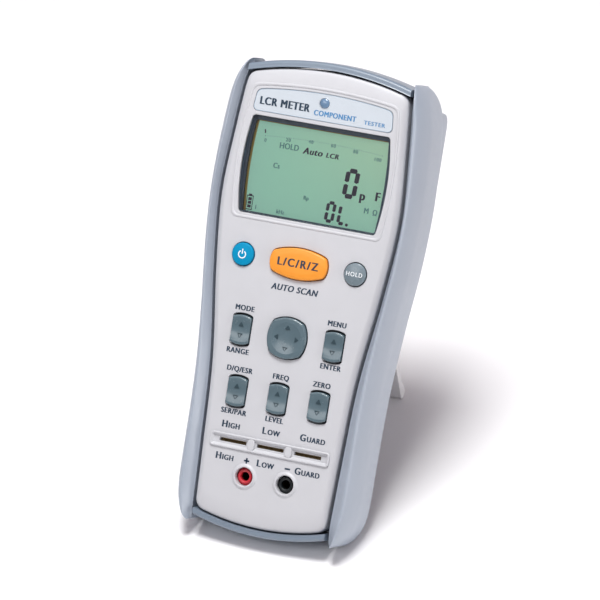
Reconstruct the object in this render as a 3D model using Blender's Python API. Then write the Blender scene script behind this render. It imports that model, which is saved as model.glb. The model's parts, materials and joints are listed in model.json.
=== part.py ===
"""Handheld LCR meter leaning back on its fold-out tilt stand.

Every piece is drawn in the meter's own frame, in millimetres: x runs across the face, y up the face
and z out of it. The face is at z = 0, and y = 0 lies SOCKET_DROP above the test sockets. The whole
frame then leans back, so that the meter rests on its two side grips and on the foot of the stand.
"""

import math

import bmesh
import bpy
from mathutils import Vector

MM = 0.001
GAP = 0.3  # clearance between pieces that touch

# Stance
LEAN = 33.0  # degrees from upright

# Body outline: half width of the face, and of the grips, at heights along the face
FACE_EDGE = [
    (-84, 30.2), (-50, 31.4), (-12, 33.2), (28, 38.3),
    (60, 41.0), (90, 39.2), (108, 37.6), (122, 36.2),
]
GRIP_EDGE = [
    (-84, 41.5), (-60, 41.6), (-20, 42.0), (14, 44.2),
    (40, 46.8), (64, 47.9), (84, 47.6), (120, 44.8),
]
FACE_TOP = 118.5  # at the centre line
FACE_TOP_SAG = 4.2  # how far the top edge falls at SAG_WIDTH
FACE_BOTTOM = -81.4
FACE_BOTTOM_SAG = 5.2
SAG_WIDTH = 33.0
FACE_CORNER = 5.0

# Shells
FACE_WALL = 2.2
SIDE_WALL = 2.0
PARTING = -8.7  # bottom of the front cover's skirt
DEPTH = 28.0  # face to rear of the case
GROOVE = 1.3  # dark groove between the face and the grips
END_GROOVE = 0.7
BAND = 3.1  # width of the end bands
TOP_ROUND = 13.0  # rounding of the rear edge at the top
BOTTOM_ROUND = 18.0
GRIP_ENDS = (-83.2, 119.2)
GRIP_CROWN = 2.0  # height of the grips above the face
GRIP_REAR_ROUND = 13.0  # rounding of both ends, seen from the side
GRIP_TIP = 20.0  # length of the rounded ends, seen from the front
GRIP_TIP_CENTRE = (33.0, 37.4)  # x that each end rounds towards
GRIP_TIP_DROP = (3.0, 8.0)  # how far the front falls at each end

# Display
WINDOW_WIDTH = 67.4  # at the middle of its height
WINDOW_LOW = 52.7
WINDOW_HIGH = 95.3
WINDOW_BOW = 2.1
LABEL_LOW = 97.2
LABEL_HIGH = 108.9
LABEL_HALF = 32.2
LABEL_ARCH = 2.6

# Controls
KEY_GAP = 0.35  # between a key and the edge of its opening
ROCKER_END_GAP = 0.45  # as much again at the ends of a rocker key
FLANGE = 1.5  # how far a key's flange reaches beyond its cap
FLANGE_TOP = -3.2
FLANGE_BOTTOM = -4.6
KEY_ROW = 34.9
ROUND_KEY_X = 26.0
ROUND_KEY_RADIUS = 5.3  # of the opening, as are the sizes below
FUNCTION_HALF = (12.6, 4.6)
ROCKER_HALF = (4.6, 6.35)
ROCKER_BOW = 0.95
ROCKERS = {
    "rocker_upper_left": (-21.5, 2.5),
    "rocker_upper_right": (21.5, 2.5),
    "rocker_lower_left": (-19.0, -24.2),
    "rocker_lower_middle": (0.0, -24.2),
    "rocker_lower_right": (19.0, -24.2),
}
PAD_CENTRE = (0.0, 2.5)
PAD_HALF = 7.3
PAD_BOW = 2.0
PAD_PIVOT = -5.0  # depth of the navigation pad's tilt axes

# Test connections
SOCKET_DROP = 60.0
SOCKET_PITCH = 19.05
SOCKET_HOLE = 4.2
SLOT_ROW = -45.9
SLOT_PITCH = 17.4
SLOT_LENGTH = 12.5
SLOT_BLOCK_HALF = (27.8, 3.3)

# Rear block, stand and battery
DOOR_LOW = 74.3
DOOR_HIGH = 108.3
DOOR_DEPTH = 40.5
BLOCK_HALF = 43.3
BLOCK_LOW = 46.0
BLOCK_HIGH = 71.3
BLOCK_DEPTH = 38.4
HINGE = (41.0, -32.0)  # y and z of the stand's pin
PIN_RADIUS = 1.0
PIN_HOLE = 1.3
STAND_LENGTH = 98.8  # pin to the centre of the foot
STAND_HALF = 20.4
STAND_THICK = 3.3
STAND_BOW = 2.6
FOOT_RADIUS = 2.5
FOOT_LENGTH = 5.0
ARCH_HALF = 17.5  # shallow arch between the stand's two feet
ARCH_HEIGHT = 3.4
BATTERY = (48.5, 26.5, 17.5)
BATTERY_Y = 90.5
BATTERY_FRONT = -20.4

SCREWS = [(-24.0, -48.0), (24.0, -48.0), (-30.0, 30.0), (30.0, 30.0)]
BAND_HALF = (30.4, 35.8)  # half lengths of the bottom and top end bands
VIEW_HALF = 31.8  # half width of the display's visible area, at its middle
VIEW_BOW = 1.2
VIEW_MARGINS = (0.9, 2.0)  # dark frame below and above it
LENS_CENTRE = (0.0, 104.9)
LENS_RADIUS = 2.2

ROUND_STEPS = 20


# ---------------------------------------------------------------- materials


def material(name, colour, roughness, metallic=0.0):
    found = bpy.data.materials.new(name)
    found.use_nodes = True
    shader = found.node_tree.nodes["Principled BSDF"]
    shader.inputs["Base Color"].default_value = (*colour, 1.0)
    shader.inputs["Roughness"].default_value = roughness
    shader.inputs["Metallic"].default_value = metallic
    found.diffuse_color = (*colour, 1.0)
    return found


# ---------------------------------------------------------------- outlines and bodies


def spread(low, high, count):
    return [low + (high - low) * i / (count - 1) for i in range(count)]


def along(points, at):
    """Value at a place on the smooth curve through points of (place, value)."""
    places = [p for p, _ in points]
    values = [v for _, v in points]
    at = min(max(at, places[0]), places[-1])
    i = max(k for k in range(len(points) - 1) if places[k] <= at)

    def slope(k):
        before, after = max(k - 1, 0), min(k + 1, len(points) - 1)
        return (values[after] - values[before]) / (places[after] - places[before])

    step = places[i + 1] - places[i]
    t = (at - places[i]) / step
    return (
        (2 * t**3 - 3 * t**2 + 1) * values[i]
        + (t**3 - 2 * t**2 + t) * step * slope(i)
        + (3 * t**2 - 2 * t**3) * values[i + 1]
        + (t**3 - t**2) * step * slope(i + 1)
    )


def rounded(corners, steps=4):
    """Outline from (x, y, radius) corners, with an arc at each corner that has a radius."""
    outline = []
    for i, (x, y, radius) in enumerate(corners):
        if not radius:
            outline.append((x, y))
            continue
        here = Vector((x, y))
        back = (Vector(corners[i - 1][:2]) - here).normalized()
        ahead = (Vector(corners[(i + 1) % len(corners)][:2]) - here).normalized()
        half = back.angle(ahead) / 2
        centre = here + (back + ahead).normalized() * radius / math.sin(half)
        reach = radius / math.tan(half)
        first = here + back * reach - centre
        last = here + ahead * reach - centre
        start = math.atan2(first.y, first.x)
        turn = math.remainder(math.atan2(last.y, last.x) - start, math.tau)
        for angle in spread(start, start + turn, steps + 1):
            outline.append((centre.x + radius * math.cos(angle), centre.y + radius * math.sin(angle)))
    return outline


def bowed(half, bow, radius, centre=(0.0, 0.0), grow=0.0, steps=4):
    """Rounded rectangle of the half sizes (x, y), whose sides swell by bow (x, y) at their middles."""
    corners = []
    for turn in range(4):
        side = turn % 2
        for t in (-1.0, -0.5, 0.0, 0.5):
            x = half[side] + grow + bow[side] * (1 - t * t)
            y = (half[1 - side] + grow) * t
            for _ in range(turn):
                x, y = -y, x
            corners.append((x + centre[0], y + centre[1], radius + grow if t == -1.0 else 0.0))
    return rounded(corners, steps)


def circle(radius, centre=(0.0, 0.0), steps=ROUND_STEPS):
    angles = [math.tau * i / steps for i in range(steps)]
    return [(centre[0] + radius * math.cos(a), centre[1] + radius * math.sin(a)) for a in angles]


def loft(rings):
    """Closed body through rings of points, one after another."""
    bm = bmesh.new()
    verts = [[bm.verts.new(point) for point in ring] for ring in rings]
    for low, high in zip(verts, verts[1:]):
        for i in range(len(low)):
            j = (i + 1) % len(low)
            bm.faces.new((low[i], low[j], high[j], high[i]))
    bm.faces.new(verts[0][::-1])
    bm.faces.new(verts[-1])
    return bm


def prism(outline, low, high):
    return loft([[(x, y, z) for x, y in outline] for z in (low, high)])


def prism_x(profile, low, high):
    """Profile of (y, z) points run from x = low to x = high."""
    return loft([[(x, y, z) for y, z in profile] for x in (low, high)])


def stacked(outline_at, levels):
    """Body through the outline that a function gives at each level of z."""
    return loft([[(x, y, z) for x, y in outline_at(z)] for z in levels])


def turned(profile, centre=(0.0, 0.0), steps=ROUND_STEPS):
    """Solid turned from (radius, z) points about a line along z."""
    return loft([[(x, y, z) for x, y in circle(r, centre, steps)] for r, z in profile])


def box(low, high):
    outline = [(low[0], low[1]), (high[0], low[1]), (high[0], high[1]), (low[0], high[1])]
    return prism(outline, low[2], high[2])


# ---------------------------------------------------------------- objects


def add_object(name, bm, finish, origin=(0.0, 0.0, 0.0)):
    """Object from a mesh drawn in the meter's frame, with its origin at a point of that frame."""
    bmesh.ops.recalc_face_normals(bm, faces=bm.faces)
    bmesh.ops.translate(bm, vec=-Vector(origin), verts=bm.verts)
    bmesh.ops.scale(bm, vec=(MM, MM, MM), verts=bm.verts)
    mesh = bpy.data.meshes.new(name)
    bm.to_mesh(mesh)
    bm.free()
    mesh.materials.append(finish)
    mesh.shade_smooth()
    mesh.set_sharp_from_angle(angle=math.radians(35))
    obj = bpy.data.objects.new(name, mesh)
    bpy.context.collection.objects.link(obj)
    obj.parent = frame
    obj.location = Vector(origin) * MM
    return obj


def combine(owner, bm, operation):
    """Add a hidden shape to the owner, or cut it away, with a Boolean."""
    shape = add_object(owner.name + "_shape", bm, owner.data.materials[0], owner.location / MM)
    shape.rotation_euler = owner.rotation_euler
    shape.hide_render = True
    shape.display_type = "WIRE"
    modifier = owner.modifiers.new(operation.title(), "BOOLEAN")
    modifier.operation = operation
    modifier.object = shape


def cut(owner, bm):
    combine(owner, bm, "DIFFERENCE")


def join(owner, bm):
    combine(owner, bm, "UNION")


def soften(owner, width, segments=2, angle=50.0):
    modifier = owner.modifiers.new("Bevel", "BEVEL")
    modifier.width = width * MM
    modifier.segments = segments
    modifier.limit_method = "ANGLE"
    modifier.angle_limit = math.radians(angle)


# ---------------------------------------------------------------- body outline


def end_line(x, end, offset):
    """Height of the top (end 1) or bottom (end 0) edge of the face at x, moved outwards by offset."""
    if end:
        return FACE_TOP + offset - FACE_TOP_SAG * (x / SAG_WIDTH) ** 2
    return FACE_BOTTOM - offset + FACE_BOTTOM_SAG * (x / SAG_WIDTH) ** 2


def body_outline(side=0.0, bottom=0.0, top=0.0, corner=FACE_CORNER):
    """Outline of the face, counter-clockwise, with its sides and ends moved outwards."""
    low_x = along(FACE_EDGE, FACE_BOTTOM) + side
    high_x = along(FACE_EDGE, FACE_TOP) + side
    low_y = end_line(low_x, 0, bottom)
    high_y = end_line(high_x, 1, top)
    right = [(along(FACE_EDGE, y) + side, y, 0.0) for y in spread(low_y, high_y, 11)[1:-1]]
    right = [(low_x, low_y, corner), *right, (high_x, high_y, corner)]
    over = [(x, end_line(x, 1, top), 0.0) for x in spread(high_x, -high_x, 9)[1:-1]]
    left = [(-x, y, r) for x, y, r in reversed(right)]
    under = [(x, end_line(x, 0, bottom), 0.0) for x in spread(-low_x, low_x, 9)[1:-1]]
    return rounded(right + over + left + under)


def rear_pull(z, radius):
    """How far an end draws in at z, where the rear edge is rounded to this radius."""
    into = max(radius - DEPTH - z, 0.0)
    return radius - math.sqrt(max(radius**2 - into**2, 0.0))


REAR_LEVELS = [-DEPTH + BOTTOM_ROUND * (1 - math.sin(math.radians(a))) for a in (90, 72, 54, 36, 18, 0)]


# ---------------------------------------------------------------- front


def front_cover():
    levels = [(PARTING, 0.0), (-1.6, 0.0), (-0.8, 0.2), (-0.25, 0.7), (0.0, 1.6)]
    outlines = {z: body_outline(-inset, -inset, -inset) for z, inset in levels}
    cover = add_object("front_cover", stacked(outlines.get, [z for z, _ in levels]), finishes["white"])
    inner = body_outline(-SIDE_WALL, -SIDE_WALL, -SIDE_WALL)
    cut(cover, prism(inner, PARTING - 1.0, -FACE_WALL))
    cut(cover, prism(window_outline(0.0), -4.0, 1.0))
    cut(cover, prism(label_outline(GAP), -0.8, 1.0))
    for x in (-1, 1):
        centre = (x * SOCKET_PITCH / 2, -SOCKET_DROP)
        join(cover, turned([(5.7, -1.0), (5.7, 0.15), (5.0, 0.75)], centre))
        cut(cover, turned([(SOCKET_HOLE, -4.0), (SOCKET_HOLE, 2.0)], centre))
        key = circle(ROUND_KEY_RADIUS, (x * ROUND_KEY_X, KEY_ROW), 24)
        cut(cover, prism(key, -4.0, 1.0))
    cut(cover, prism(function_outline(), -4.0, 1.0))
    cut(cover, prism(pad_outline(), -4.0, 1.0))
    for centre in ROCKERS.values():
        cut(cover, prism(rocker_outline(centre), -4.0, 1.0))
    cut(cover, prism(slot_block_outline(GAP), -4.0, 1.0))
    cut(cover, turned([(LENS_RADIUS + GAP, -4.0), (LENS_RADIUS + GAP, 1.0)], LENS_CENTRE))


def label_outline(grow=0.0):
    """Strip over the display, with an arched top."""
    low, high = LABEL_LOW - grow, LABEL_HIGH + grow
    half = LABEL_HALF + grow
    crown = [(x, high - LABEL_ARCH * (x / half) ** 2, 0.0) for x in spread(half, -half, 9)[1:-1]]
    shoulder = high - LABEL_ARCH
    corners = [(-half, low, 2.0), (half, low, 2.0), (half - 1.0, shoulder, 3.0)]
    return rounded([*corners, *crown, (1.0 - half, shoulder, 3.0)])


def window_outline(grow=0.0):
    half_y = (WINDOW_HIGH - WINDOW_LOW) / 2
    centre = (0.0, (WINDOW_HIGH + WINDOW_LOW) / 2)
    return bowed((WINDOW_WIDTH / 2 - WINDOW_BOW, half_y), (WINDOW_BOW, 0.0), 1.6, centre, grow)


def view_outline():
    """Opening of the dark frame, which shows the display's visible area."""
    low, high = WINDOW_LOW + VIEW_MARGINS[0], WINDOW_HIGH - VIEW_MARGINS[1]
    half = (VIEW_HALF - VIEW_BOW, (high - low) / 2)
    return bowed(half, (VIEW_BOW, 0.0), 0.6, (0.0, (high + low) / 2))


def display():
    """Clear window, its dark frame, the liquid crystal cell and the reflector behind it."""
    add_object("display_window", prism(window_outline(-GAP), -1.6, -0.5), finishes["clear"])
    surround = add_object("display_frame", prism(window_outline(1.4), -3.6, -2.5), finishes["navy"])
    cut(surround, prism(view_outline(), -6.0, 0.0))
    half, low, high = VIEW_HALF + 1.2, WINDOW_LOW - 0.6, WINDOW_HIGH - 0.5
    add_object("lcd_glass", box((-half, low, -5.9), (half, high, -3.9)), finishes["lcd"])
    add_object("lcd_reflector", box((-half, low, -8.0), (half, high, -6.2)), finishes["diffuser"])
    label = add_object("label_strip", prism(label_outline(), -0.5, 0.05), finishes["label"])
    cut(label, turned([(LENS_RADIUS + GAP, -2.0), (LENS_RADIUS + GAP, 1.0)], LENS_CENTRE))
    dome = [(LENS_RADIUS, -4.5), (LENS_RADIUS, 0.1), (LENS_RADIUS - 0.6, 0.35)]
    add_object("indicator_lens", turned(dome, LENS_CENTRE, 16), finishes["lens"])


def function_outline(grow=0.0):
    return bowed(FUNCTION_HALF, (1.0, 2.5), 3.0, (0.0, KEY_ROW), grow)


def pad_outline(grow=0.0):
    return bowed((PAD_HALF, PAD_HALF), (PAD_BOW, PAD_BOW), 2.6, PAD_CENTRE, grow)


def rocker_outline(centre, grow=0.0, end_gap=0.0):
    half = (ROCKER_HALF[0], ROCKER_HALF[1] - end_gap)
    return bowed(half, (0.0, ROCKER_BOW), 1.2, centre, grow)


def key_body(name, outline_at, finish, height, edge=0.7, origin=None):
    """Key cap with softened edges and a wider flange below the cover that keeps it in."""
    levels = [
        (FLANGE_BOTTOM, FLANGE), (FLANGE_TOP, FLANGE), (FLANGE_TOP, 0.0),
        (height - edge, 0.0), (height - 0.3 * edge, -0.3 * edge), (height, -edge),
    ]
    rings = [[(x, y, z) for x, y in outline_at(grow - KEY_GAP)] for z, grow in levels]
    return add_object(name, loft(rings), finishes[finish], origin or (0.0, 0.0, 0.0))


def keys():
    for name, x, finish in (("power_key", -ROUND_KEY_X, "cyan"), ("hold_key", ROUND_KEY_X, "grey")):
        centre = (x, KEY_ROW)
        key_body(name, lambda grow, c=centre: circle(ROUND_KEY_RADIUS + grow, c, 24), finish, 1.5,
                 origin=(*centre, 0.0))
    key_body("function_key", function_outline, "orange", 1.9, 0.9, (0.0, KEY_ROW, 0.0))
    for name, centre in ROCKERS.items():
        key_body(name, lambda grow, c=centre: rocker_outline(c, grow, ROCKER_END_GAP), "teal", 1.4,
                 origin=(*centre, FLANGE_BOTTOM))
    pad = key_body("navigation_pad", pad_outline, "teal", 1.6, 0.8, (*PAD_CENTRE, PAD_PIVOT))
    cut(pad, turned([(2.2, -8.0), (2.2, -3.6)], PAD_CENTRE, 12))
    pivot = add_object(
        "navigation_pivot",
        turned([(1.8, -5.3), (1.8, -4.2), (1.0, -3.9)], PAD_CENTRE, 12),
        finishes["silicone"],
        (*PAD_CENTRE, PAD_PIVOT),
    )
    join(pivot, turned([(3.2, -5.3), (3.2, -4.8)], PAD_CENTRE, 12))
    add_object("keypad_mat", prism(body_outline(-5.0, -42.0, -75.0, 3.0), -7.6, -5.6), finishes["silicone"])


# ---------------------------------------------------------------- test connections


def slot_block_outline(grow=0.0):
    half_x, half_y = (half + grow for half in SLOT_BLOCK_HALF)
    corners = ((-1, -1), (1, -1), (1, 1), (-1, 1))
    return rounded([(x * half_x, SLOT_ROW + y * half_y, max(1.6 + grow, 0.4)) for x, y in corners])


def test_slots():
    """Block of three slots for component leads, with a spring contact in each."""
    rings = [(-7.0, 0.0), (0.4, 0.0), (0.75, -0.4), (0.75, -0.9), (-0.5, -1.7)]
    block = add_object(
        "slot_block",
        loft([[(x, y, z) for x, y in slot_block_outline(grow)] for z, grow in rings]),
        finishes["white"],
    )
    for i, name in enumerate(("high", "low", "guard")):
        x = (i - 1) * SLOT_PITCH
        half = SLOT_LENGTH / 2
        cut(block, box((x - half, SLOT_ROW - 0.9, -6.0), (x + half, SLOT_ROW + 0.9, 2.0)))
        contact = add_object(
            "slot_contact_" + name,
            box((x - half + GAP, SLOT_ROW - 0.6, -5.7), (x + half - GAP, SLOT_ROW + 0.6, -1.9)),
            finishes["brass"],
        )
        cut(contact, box((x - half, SLOT_ROW - 0.25, -5.0), (x + half, SLOT_ROW + 0.25, 0.0)))


def sockets():
    """Two 4 mm sockets: a coloured insulating sleeve around a metal barrel."""
    for x, sign, finish in ((-1, "plus", "red"), (1, "minus", "black")):
        centre = (x * SOCKET_PITCH / 2, -SOCKET_DROP)
        sleeve = add_object(
            "socket_sleeve_" + sign,
            turned([(5.2, -7.0), (5.2, -2.6), (3.9, -2.6), (3.9, -2.3)], centre),
            finishes[finish],
        )
        join(sleeve, turned([(3.3, -3.0), (3.3, -1.2), (3.1, -0.9)], centre))
        cut(sleeve, turned([(2.0, -3.0), (2.0, 1.0)], centre))
        cut(sleeve, turned([(2.6, -8.0), (2.6, -2.9)], centre))
        barrel = add_object(
            "socket_barrel_" + sign,
            turned([(2.3, -22.0), (2.3, -3.3)], centre, 16),
            finishes["brass"],
        )
        cut(barrel, turned([(1.95, -20.0), (1.95, -2.0)], centre, 16))


# ---------------------------------------------------------------- rear


def rear_case():
    def outline(z):
        bottom = min(END_GROOVE - GAP, END_GROOVE + BAND - rear_pull(z, BOTTOM_ROUND))
        top = min(END_GROOVE - GAP, END_GROOVE + BAND - rear_pull(z, TOP_ROUND))
        return body_outline(GROOVE - GAP, bottom, top)

    case = add_object("rear_case", stacked(outline, [*REAR_LEVELS, PARTING - GAP]), finishes["case"])
    inset = GROOVE - GAP - SIDE_WALL
    cut(case, prism(body_outline(inset, -17.0, -12.0), -DEPTH + 2.0, 0.0))
    cut(case, prism(body_outline(inset, -2.5, -2.5), -15.0, 0.0))
    half_x, half_y = BATTERY[0] / 2 + 1.0, BATTERY[1] / 2 + 1.0
    cut(case, box((-half_x, BATTERY_Y - half_y, -DEPTH - 5.0), (half_x, BATTERY_Y + half_y, -DEPTH + 5.0)))
    for x, y in SCREWS:
        join(case, turned([(3.6, -DEPTH + 1.0), (3.6, -12.0)], (x, y), 16))
        cut(case, turned([(3.0, -DEPTH - 1.0), (3.0, -DEPTH + 1.2)], (x, y), 16))
        cut(case, turned([(1.6, -DEPTH), (1.6, -10.0)], (x, y), 12))
    for i, (x, y) in enumerate(SCREWS):
        screw = add_object(
            f"case_screw_{i + 1}",
            turned([(2.6, -DEPTH + 0.1), (2.6, -DEPTH + 0.9), (1.3, -DEPTH + 0.9), (1.3, -12.0)], (x, y), 16),
            finishes["steel"],
        )
        for wide, tall in ((1.6, 0.35), (0.35, 1.6)):
            cut(screw, box((x - wide, y - tall, -DEPTH - 1.0), (x + wide, y + tall, -DEPTH + 0.7)))


def end_band(name, end, radius):
    """Blue-grey strip along the top or bottom end, between the grips, carrying on the rear rounding."""
    outer = END_GROOVE + BAND
    limit = -DEPTH + radius - math.sqrt(radius**2 - (radius - BAND + 0.8) ** 2)
    levels = [(z, outer - rear_pull(z, radius)) for z in spread(limit, -DEPTH + radius, 5)]
    levels += [(-2.4, outer), (-1.1, outer - 0.35), (-0.5, outer - 1.2)]
    half = BAND_HALF[end]

    def ring(z, reach):
        across = spread(half, -half, 9)
        far = [(x, end_line(x, end, reach), z) for x in across]
        near = [(x, end_line(x, end, END_GROOVE), z) for x in reversed(across)]
        return far + near

    add_object(name, loft([ring(z, reach) for z, reach in levels]), finishes["band"])


def grip_section(y, side):
    """Points (x, z) around a side grip at height y."""
    end = 0 if y < 0 else 1
    tip = (y - GRIP_ENDS[end]) * (1 if end == 0 else -1)
    slim = math.sqrt(1 - max(1 - tip / GRIP_TIP, 0.0) ** 2)
    thin = math.sqrt(1 - max(1 - tip / GRIP_REAR_ROUND, 0.0) ** 2)
    centre = GRIP_TIP_CENTRE[end]
    inner = along(FACE_EDGE, y) + GROOVE
    outer = along(GRIP_EDGE, y)
    inner = centre - 0.6 + (inner - centre + 0.6) * thin
    outer = centre + 0.6 + (outer - centre - 0.6) * slim
    front = GRIP_CROWN - GRIP_TIP_DROP[end] * (1 - thin)
    back = -DEPTH + GRIP_REAR_ROUND * (1 - thin)
    width = outer - inner
    corner = min(6.0, 0.6 * width)
    points = [
        (inner, front - 1.7), (inner + 0.06 * width, front - 1.25), (inner + 0.13 * width, front - 1.45),
        (inner + 0.3 * width, front - 1.2), (inner + 0.42 * width, front - 0.5),
    ]
    for angle in (90, 70, 52, 35, 18, 0):
        a = math.radians(angle)
        points.append((outer - 0.46 * width * (1 - math.cos(a)), front - 8.0 * (1 - math.sin(a))))
    for angle in (0, 30, 60, 90):
        a = math.radians(angle)
        points.append((outer - corner * (1 - math.cos(a)), back + corner * (1 - math.sin(a))))
    points.append((inner, back))
    return [(side * x, y, z) for x, z in points]


def side_grips():
    low, high = GRIP_ENDS
    ends = [0.06, 0.5, 1.6, 3.4, 6.0, 9.2, 13.0]
    places = [low + e for e in ends] + spread(low + GRIP_TIP, high - GRIP_TIP, 13)
    places += [high - e for e in reversed(ends)]
    for name, side in (("side_grip_left", -1), ("side_grip_right", 1)):
        add_object(name, loft([grip_section(y, side) for y in places]), finishes["grip"])


def hinge_block():
    """Raised block across the rear that carries the stand's hinge lugs."""
    y, z = HINGE
    rear = -BLOCK_DEPTH
    profile = rounded([
        (BLOCK_LOW, -DEPTH - GAP, 0.0), (BLOCK_LOW + 4.0, rear, 1.5),
        (BLOCK_HIGH, rear, 1.0), (BLOCK_HIGH, -DEPTH - GAP, 0.0),
    ], 3)
    half = BLOCK_HALF - 0.5
    block = add_object("hinge_block", prism_x(profile, -half, half), finishes["grip"])
    soften(block, 1.0)
    lug = [(y - 3.2, -DEPTH - GAP), (y - 3.2, z)]
    lug += [(y - 3.2 * math.cos(a), z - 3.2 * math.sin(a)) for a in spread(0.0, math.pi / 2, 5)[1:]]
    lug += [(BLOCK_LOW + 6.0, z - 3.2), (BLOCK_LOW + 6.0, -DEPTH - GAP)]
    for side in (-1, 1):
        near, far = sorted((side * (STAND_HALF + 0.8), side * (STAND_HALF + 4.8)))
        join(block, prism_x(lug, near, far))
    hole = [(y + a, z + b) for a, b in circle(PIN_HOLE, steps=12)]
    cut(block, prism_x(hole, -STAND_HALF - 4.0, STAND_HALF + 4.0))


def battery_bay():
    rear = -DOOR_DEPTH
    profile = rounded([
        (DOOR_LOW, -DEPTH - GAP, 0.0), (DOOR_LOW, rear, 1.2),
        (DOOR_HIGH, rear, 5.5), (DOOR_HIGH, -DEPTH - GAP, 0.0),
    ])
    origin = (0.0, (DOOR_LOW + DOOR_HIGH) / 2, -DEPTH - GAP)
    door = add_object("battery_door", prism_x(profile, -BLOCK_HALF, BLOCK_HALF), finishes["grip"], origin)
    soften(door, 1.4)
    half_x, half_y = BATTERY[0] / 2 + 1.5, BATTERY[1] / 2 + 1.0
    cut(door, box((-half_x, BATTERY_Y - half_y, rear + 2.0), (half_x, BATTERY_Y + half_y, 0.0)))
    screw_x, screw_y = screw_at = (33.5, BATTERY_Y)
    cut(door, turned([(3.2, rear - 1.0), (3.2, rear + 1.4)], screw_at, 16))
    cut(door, turned([(1.8, rear), (1.8, 0.0)], screw_at, 12))
    screw = add_object(
        "battery_door_screw",
        turned([(2.8, rear + 0.2), (2.8, rear + 1.1), (1.5, rear + 1.1), (1.5, -DEPTH - 1.0)], screw_at, 16),
        finishes["steel"],
        (*screw_at, rear),
    )
    cut(screw, box((screw_x - 2.2, screw_y - 0.45, rear - 1.0), (screw_x + 2.2, screw_y + 0.45, rear + 0.9)))
    long, tall, thick = BATTERY
    low, high = BATTERY_Y - tall / 2, BATTERY_Y + tall / 2
    back = BATTERY_FRONT - thick
    case = box((-long / 2, low, back), (long / 2 - 4.6, high, BATTERY_FRONT))
    soften(add_object("battery", case, finishes["battery"]), 1.2)
    snap = box((long / 2 - 4.2, low + 1.0, back + 1.5), (long / 2, high - 1.0, BATTERY_FRONT - 1.5))
    add_object("battery_snap", snap, finishes["black"])


def tilt_stand():
    """Bowed plate with two feet, drawn folded against the rear and then opened about its pin."""
    y, z = HINGE

    def bow(run):
        t = run / STAND_LENGTH
        return -4 * STAND_BOW * t * (1 - t)

    half = STAND_THICK / 2
    runs = spread(1.0, STAND_LENGTH, 13)
    inner = [(y - run, z + bow(run) + half) for run in runs]
    outer = [(y - run, z + bow(run) - half) for run in reversed(runs[:-1])]
    foot_y, foot_z = y - STAND_LENGTH, z + half - FOOT_RADIUS
    foot = [
        (foot_y - FOOT_RADIUS * math.sin(a), foot_z + FOOT_RADIUS * math.cos(a))
        for a in spread(0.15, math.pi, 7)
    ]
    heel = foot_y + FOOT_LENGTH
    foot += [(heel, foot_z - FOOT_RADIUS), (heel + 1.2, z + bow(STAND_LENGTH - FOOT_LENGTH) - half)]
    profile = inner + foot + outer
    plate = prism_x(profile, -STAND_HALF, STAND_HALF)
    stand = add_object("tilt_stand", plate, finishes["stand"], (0.0, y, z))
    barrel = [(y + 2.8 * math.cos(a), z + 2.8 * math.sin(a)) for a in spread(0.0, math.tau, 17)[:-1]]
    join(stand, prism_x(barrel, -STAND_HALF, STAND_HALF))
    hole = [(y + a, z + b) for a, b in circle(PIN_HOLE, steps=12)]
    cut(stand, prism_x(hole, -STAND_HALF - 1.0, STAND_HALF + 1.0))
    end = foot_y - FOOT_RADIUS
    arch = [(x, end + ARCH_HEIGHT * (1 - (x / ARCH_HALF) ** 2)) for x in spread(ARCH_HALF, -ARCH_HALF, 9)]
    arch += [(-ARCH_HALF, end - 2.0), (ARCH_HALF, end - 2.0)]
    cut(stand, prism(arch, z - 12.0, z + 12.0))
    for shape in (stand, *(m.object for m in stand.modifiers)):
        shape.rotation_euler.x = stand_angle()
    pin = [(y + a, z + b) for a, b in circle(PIN_RADIUS, steps=12)]
    add_object("stand_pin", prism_x(pin, -STAND_HALF - 4.0, STAND_HALF + 4.0), finishes["steel"])


def stand_angle():
    """Angle from folded to open that sets the foot on the ground plane."""
    lean = math.radians(LEAN)
    up = Vector((0.0, math.cos(lean), math.sin(lean)))
    foot_end = [GRIP_ENDS[0] + 0.06 + run for run in spread(0.0, 15.0, 61)]
    ground = min(Vector(point).dot(up) for y in foot_end for point in grip_section(y, 1))
    height = Vector((0.0, *HINGE)).dot(up) - ground - FOOT_RADIUS
    return lean + math.acos(height / STAND_LENGTH)


# ---------------------------------------------------------------- inside


def electronics():
    sheet = prism(body_outline(-4.5, -5.0, -6.0, 3.0), -11.4, -9.8)
    board = add_object("main_board", sheet, finishes["board"])
    for x in (-1, 1):
        cut(board, turned([(2.7, -13.0), (2.7, -8.0)], (x * SOCKET_PITCH / 2, -SOCKET_DROP), 12))
    for x, y in SCREWS:
        cut(board, turned([(1.8, -13.0), (1.8, -8.0)], (x, y), 12))
    add_object("buzzer", turned([(6.0, -15.9), (6.0, -11.7)], (16.0, 12.0)), finishes["black"])
    add_object("input_fuse", box((-14.0, -44.0, -15.7), (-8.0, -24.0, -11.7)), finishes["lens"])
    add_object("processor_chip", box((-9.0, 4.0, -13.6), (5.0, 18.0, -11.7)), finishes["black"])


def stand_on_ground():
    """Lean the meter back and set the lowest point of all its pieces on the ground, centred."""
    frame.rotation_euler = (math.radians(90.0 - LEAN), 0.0, 0.0)
    bpy.context.view_layer.update()
    graph = bpy.context.evaluated_depsgraph_get()
    corners = []
    for obj in frame.children:
        if not obj.hide_render:
            whole = obj.evaluated_get(graph)
            corners += [whole.matrix_world @ v.co for v in whole.data.vertices]
    low = [min(c[i] for c in corners) for i in range(3)]
    high = [max(c[i] for c in corners) for i in range(3)]
    frame.location = (-(low[0] + high[0]) / 2, -(low[1] + high[1]) / 2, -low[2])


for old in list(bpy.data.objects):
    bpy.data.objects.remove(old, do_unlink=True)

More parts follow.
